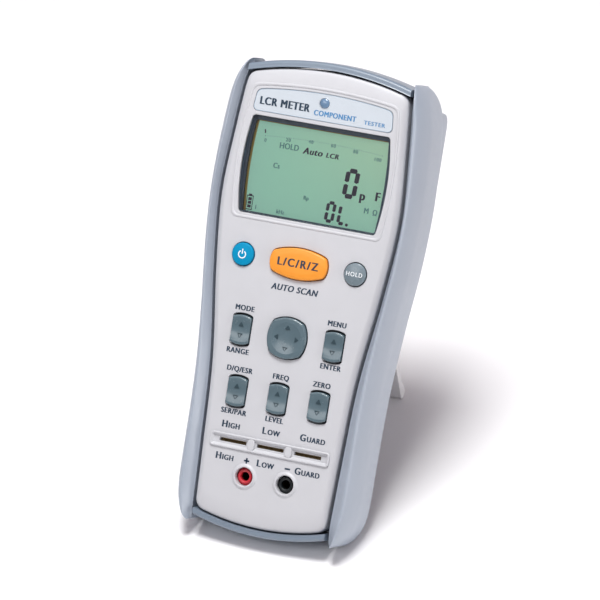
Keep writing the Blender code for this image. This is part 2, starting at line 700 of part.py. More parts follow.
finishes = {
    name: material(name, colour, roughness, metallic)
    for name, colour, roughness, metallic in (
        ("white", (0.74, 0.74, 0.77), 0.45, 0.0),
        ("grip", (0.38, 0.44, 0.54), 0.6, 0.0),
        ("band", (0.24, 0.31, 0.40), 0.55, 0.0),
        ("case", (0.16, 0.19, 0.24), 0.55, 0.0),
        ("navy", (0.03, 0.05, 0.10), 0.4, 0.0),
        ("clear", (0.90, 0.93, 0.93), 0.05, 0.0),
        ("lcd", (0.30, 0.55, 0.40), 0.25, 0.0),
        ("diffuser", (0.80, 0.82, 0.80), 0.6, 0.0),
        ("label", (0.62, 0.70, 0.77), 0.4, 0.0),
        ("lens", (0.16, 0.25, 0.45), 0.15, 0.0),
        ("cyan", (0.0, 0.30, 0.60), 0.35, 0.0),
        ("grey", (0.22, 0.25, 0.27), 0.4, 0.0),
        ("orange", (0.93, 0.38, 0.04), 0.4, 0.0),
        ("teal", (0.18, 0.25, 0.28), 0.35, 0.0),
        ("red", (0.55, 0.03, 0.05), 0.35, 0.0),
        ("black", (0.01, 0.01, 0.015), 0.4, 0.0),
        ("brass", (0.78, 0.60, 0.30), 0.3, 1.0),
        ("steel", (0.60, 0.60, 0.62), 0.3, 1.0),
        ("silicone", (0.35, 0.37, 0.40), 0.7, 0.0),
        ("board", (0.02, 0.18, 0.07), 0.5, 0.0),
        ("battery", (0.04, 0.04, 0.05), 0.4, 0.0),
        ("stand", (0.80, 0.79, 0.80), 0.5, 0.0),
    )
}

frame = bpy.data.objects.new("meter_frame", None)
bpy.context.collection.objects.link(frame)

front_cover()
display()
keys()
test_slots()
sockets()
rear_case()
end_band("end_band_bottom", 0, BOTTOM_ROUND)
end_band("end_band_top", 1, TOP_ROUND)
side_grips()
hinge_block()
battery_bay()
tilt_stand()
electronics()
stand_on_ground()
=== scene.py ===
"""Looks of the LCR meter: fine moulded surfaces, printed legends, finishes, and the studio round it.

Shapes are drawn in the meter's own frame, in millimetres: x runs across the face, y up the face and
z out of it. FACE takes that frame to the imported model's, through the pin of the tilt stand.
"""

import json
import math

import bmesh
import bpy
from mathutils import Matrix, Vector


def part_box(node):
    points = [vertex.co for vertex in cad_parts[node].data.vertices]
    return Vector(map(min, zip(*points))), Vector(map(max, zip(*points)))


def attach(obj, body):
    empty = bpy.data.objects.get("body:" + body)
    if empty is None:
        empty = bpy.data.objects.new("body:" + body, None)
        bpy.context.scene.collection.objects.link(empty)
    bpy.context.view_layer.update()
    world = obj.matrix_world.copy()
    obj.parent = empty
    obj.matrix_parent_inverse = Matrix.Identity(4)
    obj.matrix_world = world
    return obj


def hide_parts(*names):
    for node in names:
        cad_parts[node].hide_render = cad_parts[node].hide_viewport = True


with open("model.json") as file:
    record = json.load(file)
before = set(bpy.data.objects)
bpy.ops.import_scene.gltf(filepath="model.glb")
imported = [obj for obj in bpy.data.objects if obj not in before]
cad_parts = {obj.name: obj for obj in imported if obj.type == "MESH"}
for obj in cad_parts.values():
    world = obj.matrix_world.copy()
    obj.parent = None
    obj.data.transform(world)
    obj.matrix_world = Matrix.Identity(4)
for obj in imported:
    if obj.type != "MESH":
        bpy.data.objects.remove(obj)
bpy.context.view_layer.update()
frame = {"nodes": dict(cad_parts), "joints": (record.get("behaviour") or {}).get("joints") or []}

MM = 0.001
LEAN = 33.0  # degrees from upright
STAND_PIN = Vector((0.0, 41.0, -32.0))

# Body: half width of the face, and of the grips, at heights along the face
FACE_EDGE = [
    (-84, 30.2), (-50, 31.4), (-12, 33.2), (28, 38.3),
    (60, 41.0), (90, 39.2), (108, 37.6), (122, 36.2),
]
GRIP_EDGE = [
    (-84, 41.5), (-60, 41.6), (-20, 42.0), (14, 44.2),
    (40, 46.8), (64, 47.9), (84, 47.6), (120, 44.8),
]
FACE_TOP, FACE_TOP_SAG = 118.5, 4.2
FACE_BOTTOM, FACE_BOTTOM_SAG = -81.4, 5.2
SAG_WIDTH = 33.0  # half width over which an end of the face drops by its sag
FACE_CORNER = 5.0
FACE_WALL = 2.2
SIDE_WALL = 2.0
PARTING = -8.7  # height where the front cover meets the rear case
DEPTH = 28.0
GROOVE = 1.3  # between the face and a grip
END_GROOVE = 0.7  # between the face and an end band
BAND = 3.1
END_ROUND = (18.0, 13.0)  # rounding of the rear edge at the bottom and at the top
BAND_HALF = (30.9, 37.5)  # half lengths of the bottom and top end bands
GRIP_ENDS = (-83.2, 119.2)
GRIP_CROWN = 2.0
FLANK_TRIM = 0.05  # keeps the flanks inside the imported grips
GRIP_REAR_ROUND = 13.0
GRIP_REAR_CORNER = 6.0
CREST_INSET = (0.42, 0.66)  # share of a grip's width from flank to crest, low down and high up
CREST_SHIFT = (-60.0, 70.0)  # heights between which the crest moves from one to the other
GRIP_TIP = 20.0
GRIP_TIP_CENTRE = (33.0, 37.4)
GRIP_TIP_HALF = 0.6
GRIP_TIP_DROP = (3.0, 8.0)

# Controls and display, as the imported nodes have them
WINDOW = (33.7, 52.7, 95.3)  # half width at its middle, low and high edge
WINDOW_BOW = 2.1
VIEW = (31.8, 53.6, 93.3)  # visible area of the display
VIEW_BOW = 1.2
LABEL = (32.2, 97.2, 108.9)
LABEL_ARCH = 2.6
SURROUND = (34.0, 1.7, 1.9)  # half width at its ends, and margins below the window and over the label
SURROUND_BOW = 1.8
SURROUND_MIDDLE, SURROUND_REACH = 77.0, 27.0  # height where it is widest, and from there to its ends
LENS_CENTRE = (0.0, 104.9)
KEY_ROW = 34.9
ROUND_KEY_X = 26.0
ROUND_KEY_RADIUS = 5.3  # of the opening, as are the sizes below
FUNCTION_HALF = (12.6, 4.6)
ROCKER_HALF = (4.6, 6.35)
ROCKER_BOW = 0.95
ROCKERS = {
    "rocker_upper_left": (-21.5, 2.5),
    "rocker_upper_right": (21.5, 2.5),
    "rocker_lower_left": (-19.0, -24.2),
    "rocker_lower_middle": (0.0, -24.2),
    "rocker_lower_right": (19.0, -24.2),
}
PAD_CENTRE = (0.0, 2.5)
PAD_HALF = 7.3
PAD_BOW = 2.0
KEY_GAP = 0.35  # between a key and the edge of its opening
ROCKER_END_GAP = 0.45  # as much again at the ends of a rocker key
SOCKET_ROW = -60.0
SOCKET_X = 9.525
SLOT_ROW = -45.9
SLOT_PITCH = 17.4
SLOT_HALF = (6.25, 0.8)
SLOT_BLOCK_HALF = (27.8, 3.3)
DIVIDER_HALF = (1.65, 2.6)
PRINT_HEIGHT = 0.03  # thickness of printed marks
LAYER_STEP = 0.004  # between the layers of a bold letter
CAPITAL_SHARE = 0.7  # height of a capital against the size of its line
CORNERS = ((-1, -1), (1, -1), (1, 1), (-1, 1))


# -------- the meter's frame

hinge = next(joint for joint in frame["joints"] if joint["name"] == "stand_fold")
lean_back = Matrix.Rotation(math.radians(90.0 - LEAN), 4, "X")
origin = Vector(hinge["pos_m"]) - lean_back @ (STAND_PIN * MM)
FACE = Matrix.Translation(origin) @ lean_back @ Matrix.Scale(MM, 4)


# -------- outlines


def spread(low, high, count):
    return [low + (high - low) * i / (count - 1) for i in range(count)]


def along(points, at):
    """Value at a place on the smooth curve through points of (place, value)."""
    places = [p for p, _ in points]
    values = [v for _, v in points]
    at = min(max(at, places[0]), places[-1])
    i = max(k for k in range(len(points) - 1) if places[k] <= at)

    def slope(k):
        before, after = max(k - 1, 0), min(k + 1, len(points) - 1)
        return (values[after] - values[before]) / (places[after] - places[before])

    step = places[i + 1] - places[i]
    t = (at - places[i]) / step
    return (
        (2 * t**3 - 3 * t**2 + 1) * values[i]
        + (t**3 - 2 * t**2 + t) * step * slope(i)
        + (3 * t**2 - 2 * t**3) * values[i + 1]
        + (t**3 - t**2) * step * slope(i + 1)
    )


def rounded(corners, steps=8):
    """Outline from (x, y, radius) corners, with an arc at each corner that has a radius."""
    outline = []
    for i, (x, y, radius) in enumerate(corners):
        if not radius:
            outline.append((x, y))
            continue
        here = Vector((x, y))
        back = (Vector(corners[i - 1][:2]) - here).normalized()
        ahead = (Vector(corners[(i + 1) % len(corners)][:2]) - here).normalized()
        half = back.angle(ahead) / 2
        centre = here + (back + ahead).normalized() * radius / math.sin(half)
        reach = radius / math.tan(half)
        first = here + back * reach - centre
        last = here + ahead * reach - centre
        start = math.atan2(first.y, first.x)
        turn = math.remainder(math.atan2(last.y, last.x) - start, math.tau)
        for angle in spread(start, start + turn, steps + 1):
            outline.append((centre.x + radius * math.cos(angle), centre.y + radius * math.sin(angle)))
    return outline


def bowed(half, bow, radius, centre=(0.0, 0.0), grow=0.0):
    """Rounded rectangle of the half sizes (x, y), whose sides swell by bow (x, y) at their middles."""
    corners = []
    radius = max(radius + grow, 0.2)
    for turn in range(4):
        side = turn % 2
        clear = 1.0 - radius / (half[1 - side] + grow)
        for t in (-1.0, *spread(-clear, clear, 11)):
            x = half[side] + grow + bow[side] * (1 - t * t)
            y = (half[1 - side] + grow) * t
            for quarter in range(turn):
                x, y = -y, x
            corners.append((x + centre[0], y + centre[1], radius if t == -1.0 else 0.0))
    return rounded(corners)


def circle(radius, centre=(0.0, 0.0), steps=48):
    angles = [math.tau * i / steps for i in range(steps)]
    return [(centre[0] + radius * math.cos(a), centre[1] + radius * math.sin(a)) for a in angles]


def end_line(x, end, offset):
    """Height of the top (end 1) or bottom (end 0) edge of the face at x, moved outwards by offset."""
    if end:
        return FACE_TOP + offset - FACE_TOP_SAG * (x / SAG_WIDTH) ** 2
    return FACE_BOTTOM - offset + FACE_BOTTOM_SAG * (x / SAG_WIDTH) ** 2


def body_outline(side=0.0, ends=0.0, corner=FACE_CORNER):
    """Outline of the face, counter-clockwise, with its sides and ends moved outwards."""
    low_x = along(FACE_EDGE, FACE_BOTTOM) + side
    high_x = along(FACE_EDGE, FACE_TOP) + side
    low_y = end_line(low_x, 0, ends)
    high_y = end_line(high_x, 1, ends)
    clear = 1.3 * corner
    right = [(along(FACE_EDGE, y) + side, y, 0.0) for y in spread(low_y + clear, high_y - clear, 31)]
    right = [(low_x, low_y, corner), *right, (high_x, high_y, corner)]
    over = [(x, end_line(x, 1, ends), 0.0) for x in spread(high_x - clear, clear - high_x, 19)]
    left = [(-x, y, r) for x, y, r in reversed(right)]
    under = [(x, end_line(x, 0, ends), 0.0) for x in spread(clear - low_x, low_x - clear, 19)]
    return rounded(right + over + left + under)


def pane_outline(pane, bow, radius, grow):
    half_x, low, high = pane
    half = (half_x - bow, (high - low) / 2)
    return bowed(half, (bow, 0.0), radius, (0.0, (high + low) / 2), grow)


def window_outline(grow=0.0):
    return pane_outline(WINDOW, WINDOW_BOW, 1.6, grow)


def view_outline(grow=0.0):
    return pane_outline(VIEW, VIEW_BOW, 0.6, grow)


def arched_top(half, high, corner):
    """Points along an arched top edge, from right to left, clear of its corners."""
    flat = half - corner
    return [(x, high - LABEL_ARCH * (x / half) ** 2, 0.0) for x in spread(flat, -flat, 19)]


def label_outline(grow=0.0):
    """Strip over the display, with an arched top."""
    half, low, high = LABEL[0] + grow, LABEL[1] - grow, LABEL[2] + grow
    shoulder = high - LABEL_ARCH
    corners = [(-half, low, 2.0), (half, low, 2.0), (half - 1.0, shoulder, 3.0)]
    return rounded([*corners, *arched_top(half, high, 5.0), (1.0 - half, shoulder, 3.0)])


def surround_outline(grow=0.0):
    """Line round the label and the window together, bowed at its sides."""
    half, below, above = SURROUND
    half, low, high = half + grow, WINDOW[1] - below - grow, LABEL[2] + above + grow

    def side(y):
        return half + SURROUND_BOW * (1 - ((y - SURROUND_MIDDLE) / SURROUND_REACH) ** 2)

    shoulder = high - LABEL_ARCH
    flank = [(side(y), y, 0.0) for y in spread(low + 4.5, shoulder - 5.0, 19)]
    right = [(side(low), low, 2.8), *flank, (side(shoulder), shoulder, 3.6)]
    left = [(-x, y, r) for x, y, r in reversed(right)]
    return rounded([*right, *arched_top(half, high, 6.0), *left])


def function_outline(grow=0.0):
    return bowed(FUNCTION_HALF, (1.0, 2.5), 3.0, (0.0, KEY_ROW), grow)


def pad_outline(grow=0.0):
    return bowed((PAD_HALF, PAD_HALF), (PAD_BOW, PAD_BOW), 2.6, PAD_CENTRE, grow)


def rocker_outline(centre, grow=0.0, end_gap=0.0):
    half = (ROCKER_HALF[0], ROCKER_HALF[1] - end_gap)
    return bowed(half, (0.0, ROCKER_BOW), 1.2, centre, grow)


def slot_block_outline(grow=0.0):
    half_x, half_y = (half + grow for half in SLOT_BLOCK_HALF)
    radius = max(1.6 + grow, 0.3)
    return rounded([(x * half_x, SLOT_ROW + y * half_y, radius) for x, y in CORNERS])


def divider_outline(x, grow=0.0):
    half_x, half_y = (half + grow for half in DIVIDER_HALF)
    return rounded([(x + i * half_x, SLOT_ROW + j * half_y, 0.98 * half_x) for i, j in CORNERS])


# -------- bodies


def add_loft(bm, rings, closed=False):
    """Skin through rings of points, capped at both ends, or joined end to end if closed."""
    verts = [[bm.verts.new(point) for point in ring] for ring in rings]
    pairs = list(zip(verts, verts[1:]))
    if closed:
        pairs.append((verts[-1], verts[0]))
    for low, high in pairs:
        for i in range(len(low)):
            j = (i + 1) % len(low)
            bm.faces.new((low[i], low[j], high[j], high[i]))
    if not closed:
        bm.faces.new(verts[0][::-1])
        bm.faces.new(verts[-1])
    return bm


def loft(rings):
    return add_loft(bmesh.new(), rings)


def level(outline, z):
    return [(x, y, z) for x, y in outline]


def add_prism(bm, outline, low, high):
    return add_loft(bm, [level(outline, low), level(outline, high)])


def turned(profile, centre=(0.0, 0.0), steps=48):
    """Solid turned from (radius, z) points about a line along z."""
    return loft([level(circle(r, centre, steps), z) for r, z in profile])


def add_ring(bm, section, centre, steps=48):
    """Ring turned about a line along z from a closed section of (radius, z) points."""
    return add_loft(bm, [level(circle(r, centre, steps), z) for r, z in section], closed=True)


def moulding(outline_at, section):
    """Endless moulding: a section of (grow, z) points carried round an outline."""
    return add_loft(bmesh.new(), [level(outline_at(grow), z) for grow, z in section], closed=True)


def box_outline(low, high):
    return [(low[0], low[1]), (high[0], low[1]), (high[0], high[1]), (low[0], high[1])]


def to_mesh(name, bm):
    bmesh.ops.recalc_face_normals(bm, faces=bm.faces)
    mesh = bpy.data.meshes.new(name)
    bm.to_mesh(mesh)
    bm.free()
    return mesh


def carved(bm, cutters):
    """The body less the cutters, which are closed bodies clear of each other."""
    owner = bpy.data.objects.new("owner", to_mesh("owner", bm))
    tool = bpy.data.objects.new("tool", to_mesh("tool", cutters))
    for obj in (owner, tool):
        bpy.context.collection.objects.link(obj)
    cut = owner.modifiers.new("Cut", "BOOLEAN")
    cut.operation = "DIFFERENCE"
    cut.object = tool
    graph = bpy.context.evaluated_depsgraph_get()
    result = bmesh.new()
    result.from_mesh(owner.evaluated_get(graph).to_mesh())
    for obj in (owner, tool):
        bpy.data.objects.remove(obj)
    return result


def piece(name, bm, finish, body="meter", replaces=(), smooth=32.0):
    """Piece from a body drawn in the meter's frame."""
    bm.transform(FACE)
    mesh = to_mesh(name, bm)
    mesh.materials.append(finishes[finish])
    mesh.shade_smooth()
    mesh.set_sharp_from_angle(angle=math.radians(smooth))
    obj = bpy.data.objects.new(name, mesh)
    bpy.context.collection.objects.link(obj)
    weighted = obj.modifiers.new("Normals", "WEIGHTED_NORMAL")
    weighted.keep_sharp = True
    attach(obj, body)
    if replaces:
        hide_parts(*replaces)
    return obj


def eased(node, width, finish, body="meter", angle=40.0):
    """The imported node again, with its sharp edges rounded off."""
    bm = bmesh.new()
    bm.from_mesh(frame["nodes"][node].data)
    bmesh.ops.remove_doubles(bm, verts=bm.verts, dist=0.002 * MM)
    bmesh.ops.dissolve_limit(bm, angle_limit=math.radians(0.5), verts=bm.verts, edges=bm.edges)
    bmesh.ops.transform(bm, matrix=FACE.inverted(), verts=bm.verts)
    obj = piece(node + "_skin", bm, finish, body, (node,), smooth=angle)
    bevel = obj.modifiers.new("Bevel", "BEVEL")
    obj.modifiers.move(1, 0)
    bevel.width = width * MM
    bevel.segments = 3
    bevel.limit_method = "ANGLE"
    bevel.angle_limit = math.radians(angle)
    bevel.harden_normals = True


# -------- finishes


class Finish:
    """A material whose colour, roughness and height come from procedural grain."""

    def __init__(self, name, colour, roughness):
        self.material = bpy.data.materials.new(name)
        self.material.use_nodes = True
        self.tree = self.material.node_tree
        self.shader = self.tree.nodes["Principled BSDF"]
        self.shader.inputs["Roughness"].default_value = roughness
        self.place = self.tree.nodes.new("ShaderNodeTexCoord").outputs["Object"]
        self.colour = self.shader.inputs["Base Color"]
        self.colour.default_value = (*colour, 1.0)
        self.base = colour

    def noise(self, size, detail=2.0):
        """Noise whose features measure about size, in millimetres."""
        noise = self.tree.nodes.new("ShaderNodeTexNoise")
        noise.inputs["Scale"].default_value = 1.0 / (size * MM)
        noise.inputs["Detail"].default_value = detail
        self.tree.links.new(self.place, noise.inputs["Vector"])
        return noise.outputs["Fac"]

    def fit(self, value, low, high):
        """Noise spread over the range from low to high."""
        fitted = self.tree.nodes.new("ShaderNodeMapRange")
        fitted.inputs["From Min"].default_value = 0.25
        fitted.inputs["From Max"].default_value = 0.75
        fitted.inputs["To Min"].default_value = low
        fitted.inputs["To Max"].default_value = high
        self.tree.links.new(value, fitted.inputs["Value"])
        return fitted.outputs["Result"]

    def blend(self, factor, other):
        """Mix the colour so far with another colour."""
        mix = self.tree.nodes.new("ShaderNodeMix")
        mix.data_type = "RGBA"
        self.tree.links.new(factor, mix.inputs["Factor"])
        before, after = mix.inputs[6], mix.inputs[7]
        if self.colour.is_linked:
            self.tree.links.new(self.colour.links[0].from_socket, before)
        else:
            before.default_value = (*self.base, 1.0)
        after.default_value = (*other, 1.0)
        self.tree.links.new(mix.outputs[2], self.colour)

    def mottle(self, size, amount):
        """Slow drift of the colour, lighter and darker."""
        tint = [min(c * (1.0 + amount), 1.0) for c in self.base]
        self.blend(self.fit(self.noise(size), 0.0, 1.0), tint)

    def vary_roughness(self, size, spread_by):
        roughness = self.shader.inputs["Roughness"]
        middle = roughness.default_value
        value = self.fit(self.noise(size, 3.0), middle - spread_by, middle + spread_by)
        self.tree.links.new(value, roughness)

    def grain(self, size, depth, detail=2.0):
        """Surface grain of this size and depth, in millimetres."""
        bump = self.tree.nodes.new("ShaderNodeBump")
        bump.inputs["Strength"].default_value = 1.0
        bump.inputs["Distance"].default_value = depth * MM
        self.tree.links.new(self.noise(size, detail), bump.inputs["Height"])
        self.tree.links.new(bump.outputs["Normal"], self.shader.inputs["Normal"])


def moulded(name, colour, roughness, grain=0.35, depth=0.004, mottle=0.05, coat=0.0, gloss=0.5):
    """Moulded plastic: fine spark-eroded grain, a slight drift of colour and of gloss."""
    finish = Finish(name, colour, roughness)
    finish.mottle(9.0, mottle)
    finish.vary_roughness(2.5, 0.05)
    finish.grain(grain, depth)
    finish.shader.inputs["Specular IOR Level"].default_value = gloss
    if coat:
        finish.shader.inputs["Coat Weight"].default_value = coat
        finish.shader.inputs["Coat Roughness"].default_value = 0.12
    return finish.material


def rubbery(name, colour, roughness, coat=0.0):
    """Over-moulded grip: satin, with pores and a soft sheen."""
    finish = Finish(name, colour, roughness)
    finish.mottle(14.0, 0.07)
    finish.mottle(0.5, 0.05)
    finish.vary_roughness(3.0, 0.06)
    finish.grain(0.3, 0.006, 3.0)
    finish.shader.inputs["Coat Weight"].default_value = coat
    finish.shader.inputs["Coat Roughness"].default_value = 0.3
    return finish.material


def metal(name, colour, roughness):
    finish = Finish(name, colour, roughness)
    finish.shader.inputs["Metallic"].default_value = 1.0
    finish.mottle(3.0, 0.12)
    finish.vary_roughness(0.8, 0.08)
    finish.grain(0.25, 0.003, 4.0)
    return finish.material


def display_green():
    """Reflective liquid crystal: green, turning yellow towards its top right corner, with a fine grain, and
    a painted glow that lifts it where the window's recess shades it.
    """
    finish = Finish("lcd_green", (0.37, 0.74, 0.57), 0.4)
    low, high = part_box("lcd_glass")
    split = finish.tree.nodes.new("ShaderNodeSeparateXYZ")
    finish.tree.links.new(finish.place, split.inputs["Vector"])
    corner = finish.tree.nodes.new("ShaderNodeMath")
    corner.operation = "MULTIPLY"
    for i, axis in enumerate("xz"):
        share = finish.tree.nodes.new("ShaderNodeMapRange")
        share.inputs["From Min"].default_value = getattr(low, axis)
        share.inputs["From Max"].default_value = getattr(high, axis)
        finish.tree.links.new(split.outputs[axis.upper()], share.inputs["Value"])
        finish.tree.links.new(share.outputs["Result"], corner.inputs[i])
    finish.blend(corner.outputs["Value"], (0.66, 0.86, 0.52))
    finish.blend(finish.fit(finish.noise(0.45, 3.0), 0.0, 0.3), (0.44, 0.78, 0.60))
    finish.grain(0.4, 0.002)
    # Painted light: a faint green glow, though the display has no backlight, standing in for the light that
    # the recess and the frame's shadow keep off it
    finish.shader.inputs["Emission Color"].default_value = (0.11, 0.20, 0.165, 1.0)
    finish.shader.inputs["Emission Strength"].default_value = 1.0
    return finish.material


def clear_window():
    """Polished acrylic: clear, with gloss that grows towards grazing angles."""
    material = bpy.data.materials.new("window_clear")
    material.use_nodes = True
    tree = material.node_tree
    tree.nodes.remove(tree.nodes["Principled BSDF"])
    clear = tree.nodes.new("ShaderNodeBsdfTransparent")
    clear.inputs["Color"].default_value = (0.992, 0.996, 0.994, 1.0)
    gloss = tree.nodes.new("ShaderNodeBsdfGlossy")
    gloss.inputs["Roughness"].default_value = 0.06
    gloss.inputs["Color"].default_value = (1.0, 1.0, 1.0, 1.0)
    fresnel = tree.nodes.new("ShaderNodeFresnel")
    fresnel.inputs["IOR"].default_value = 1.45
    mix = tree.nodes.new("ShaderNodeMixShader")
    tree.links.new(fresnel.outputs["Fac"], mix.inputs["Fac"])
    tree.links.new(clear.outputs["BSDF"], mix.inputs[1])
    tree.links.new(gloss.outputs["BSDF"], mix.inputs[2])
    tree.links.new(mix.outputs["Shader"], tree.nodes["Material Output"].inputs["Surface"])
    return material


def circuit_board():
    """Green solder mask over faint copper runs."""
    finish = Finish("circuit_board", (0.02, 0.17, 0.07), 0.35)
    finish.mottle(6.0, 0.25)
    brick = finish.tree.nodes.new("ShaderNodeTexBrick")
    brick.inputs["Scale"].default_value = 240.0
    brick.inputs["Mortar Size"].default_value = 0.04
    finish.tree.links.new(finish.place, brick.inputs["Vector"])
    finish.blend(brick.outputs["Fac"], (0.05, 0.30, 0.12))
    finish.grain(0.6, 0.01)
    return finish.material


finishes = {
    "face_white": moulded("face_white", (0.565, 0.575, 0.60), 0.42, 0.3, 0.003, 0.03),
    "window_clear": clear_window(),
    "frame_navy": moulded("frame_navy", (0.07, 0.11, 0.165), 0.35),
    "lcd_green": display_green(),
    "reflector": moulded("reflector", (0.78, 0.80, 0.77), 0.6),
    "label_blue": moulded("label_blue", (0.55, 0.605, 0.655), 0.35, 0.8, 0.002, 0.04),
    "lens_blue": moulded("lens_blue", (0.12, 0.20, 0.31), 0.15, 1.2, 0.02, 0.35, 0.6),
    "key_cyan": moulded("key_cyan", (0.0, 0.25, 0.46), 0.55, 0.3, 0.004, 0.08, gloss=0.15),
    "key_grey": moulded("key_grey", (0.17, 0.22, 0.25), 0.28, 0.3, 0.003, 0.1, 0.3),
    "key_orange": moulded("key_orange", (0.86, 0.31, 0.03), 0.42, 0.3, 0.003, 0.06),
    "key_teal": moulded("key_teal", (0.095, 0.145, 0.17), 0.24, 0.4, 0.002, 0.1, 0.5),
    "silicone": rubbery("silicone", (0.35, 0.37, 0.40), 0.65),
    "circuit_board": circuit_board(),
    "black_plastic": moulded("black_plastic", (0.015, 0.016, 0.02), 0.4),
    "fuse_glass": moulded("fuse_glass", (0.55, 0.58, 0.60), 0.15),
    "battery_wrap": moulded("battery_wrap", (0.05, 0.055, 0.07), 0.3, 0.5, 0.004, 0.3),
    "grip_blue_grey": rubbery("grip_blue_grey", (0.345, 0.39, 0.455), 0.36, 0.3),
    "band_blue_grey": rubbery("band_blue_grey", (0.19, 0.24, 0.30), 0.36, 0.3),
    "case_dark": moulded("case_dark", (0.10, 0.13, 0.17), 0.5, 0.5, 0.01, 0.12),
    "stand_white": moulded("stand_white", (0.78, 0.775, 0.785), 0.45, 0.4, 0.004, 0.03),
    "steel": metal("steel", (0.60, 0.60, 0.62), 0.3),
    "socket_red": moulded("socket_red", (0.52, 0.028, 0.042), 0.32, 0.5, 0.003, 0.1, 0.2),
    "socket_black": moulded("socket_black", (0.006, 0.009, 0.011), 0.38, 0.5, 0.003, 0.2),
    "brass": metal("brass", (0.16, 0.115, 0.06), 0.4),
    "ink": moulded("ink", (0.012, 0.032, 0.06), 0.45, 0.2, 0.002, 0.2),
    "ink_blue": moulded("ink_blue", (0.06, 0.22, 0.44), 0.4, 0.2, 0.002, 0.1),
    "ink_pale": moulded("ink_pale", (0.34, 0.44, 0.54), 0.45, 0.2, 0.002, 0.1),
    "ink_white": moulded("ink_white", (0.82, 0.86, 0.88), 0.45, 0.2, 0.002, 0.05),
    "ink_teal": moulded("ink_teal", (0.02, 0.045, 0.058), 0.4, 0.2, 0.002, 0.2),
    "segment": moulded("segment", (0.062, 0.052, 0.085), 0.5, 0.3, 0.002, 0.25),
    "segment_faint": moulded("segment_faint", (0.19, 0.42, 0.42), 0.5, 0.3, 0.002, 0.2),
    "lcd_edge": moulded("lcd_edge", (0.42, 0.28, 0.07), 0.35, 0.6, 0.004, 0.4),
}


# -------- printed marks


def add_lettering(bm, text, size, centre, z, bold=0.16, slant=0.0, squeeze=0.88, track=1.14):
    """Line of text, with capitals of this height, thickened by drawing it three times side by side."""
    curve = bpy.data.curves.new("lettering", "FONT")
    curve.body = text
    curve.size = size / CAPITAL_SHARE
    curve.align_x = "CENTER"
    curve.align_y = "CENTER"
    curve.extrude = PRINT_HEIGHT
    curve.shear = slant
    curve.space_character = track
    curve.resolution_u = 4
    obj = bpy.data.objects.new("lettering", curve)
    for i in (-1, 0, 1):
        drawn = bmesh.new()
        drawn.from_mesh(obj.to_mesh())
        place = Matrix.Translation((centre[0] + i * bold, centre[1], z + i * LAYER_STEP))
        drawn.transform(place @ Matrix.Diagonal((squeeze, 1.0, 1.0, 1.0)))
        add_bmesh(bm, drawn)
        obj.to_mesh_clear()
    bpy.data.objects.remove(obj)


def add_bmesh(bm, other):
    """Add one body to another."""
    mesh = to_mesh("part", other)
    bm.from_mesh(mesh)
    bpy.data.meshes.remove(mesh)


def add_line(bm, start, end, width, z):
    """Straight printed stroke."""
    start, end = Vector(start), Vector(end)
    across = (end - start).normalized().orthogonal() * width / 2
    outline = [start - across, end - across, end + across, start + across]
    add_prism(bm, [tuple(p) for p in outline], z - PRINT_HEIGHT, z + PRINT_HEIGHT)


def triangle(centre, size, turn):
    """Triangle that points up, turned counter-clockwise by degrees."""
    angle = math.radians(turn)
    points = [(0.0, 0.62), (-0.55, -0.4), (0.55, -0.4)]
    return [
        (
            centre[0] + size * (x * math.cos(angle) - y * math.sin(angle)),
            centre[1] + size * (x * math.sin(angle) + y * math.cos(angle)),
        )
        for x, y in points
    ]


def add_triangle(bm, centre, size, turn, z, outlined=False):
    outer = triangle(centre, size, turn)
    if not outlined:
        add_prism(bm, outer, z - PRINT_HEIGHT, z + PRINT_HEIGHT)
        return
    inner = triangle(centre, size * 0.62, turn)
    low, high = z - PRINT_HEIGHT, z + PRINT_HEIGHT
    add_loft(bm, [level(outer, low), level(outer, high), level(inner, high), level(inner, low)], closed=True)


SLOT_CAPITAL = 3.0  # height of the first letter at the slots and sockets
SLOT_LETTER = 2.3  # height of the letters that follow
SIGN_ROW = -53.1
SIGN_HALF = 1.25
SIGN_STROKE = 0.75
LEGENDS = [  # words, height, centre, slant
    ("AUTO SCAN", 2.7, (-0.3, 23.6), 0.2),
    ("MODE", 2.3, (-21.3, 11.9), 0.0),
    ("RANGE", 2.3, (-21.6, -6.9), 0.0),
    ("MENU", 2.3, (21.5, 12.3), 0.0),
    ("ENTER", 2.3, (21.5, -6.5), 0.0),
    ("D/Q/ESR", 2.3, (-19.3, -14.7), 0.0),
    ("SER/PAR", 2.3, (-19.0, -33.2), 0.0),
    ("FREQ", 2.3, (0.0, -14.7), 0.0),
    ("LEVEL", 2.3, (0.0, -33.4), 0.0),
    ("ZERO", 2.3, (19.0, -14.7), 0.0),
]
SLOT_LEGENDS = [  # word, centre, width
    ("HIGH", (-18.7, -39.2), 8.4), ("LOW", (-0.3, -38.9), 8.4), ("GUARD", (19.0, -38.7), 11.6),
    ("HIGH", (-19.3, -53.2), 8.4), ("LOW", (-0.6, -53.3), 8.2), ("GUARD", (18.9, -53.4), 11.4),
]


def face_legends():
    bm = bmesh.new()
    for text, size, centre, slant in LEGENDS:
        add_lettering(bm, text, size, centre, PRINT_HEIGHT, slant=slant)
    for text, (x, y), width in SLOT_LEGENDS:
        add_lettering(bm, text[0], SLOT_CAPITAL, (x - 0.4 * width, y + 0.1), PRINT_HEIGHT, 0.2)
        add_lettering(bm, text[1:], SLOT_LETTER, (x + 0.12 * width, y - 0.2), PRINT_HEIGHT)
    for x in (-SOCKET_X, SOCKET_X):
        add_line(bm, (x - SIGN_HALF, SIGN_ROW), (x + SIGN_HALF, SIGN_ROW), SIGN_STROKE, 0.0)
    low, high = SIGN_ROW - SIGN_HALF, SIGN_ROW + SIGN_HALF
    add_line(bm, (-SOCKET_X, low), (-SOCKET_X, high), SIGN_STROKE, 0.0)
    piece("face_legends", bm, "ink")


# -------- front


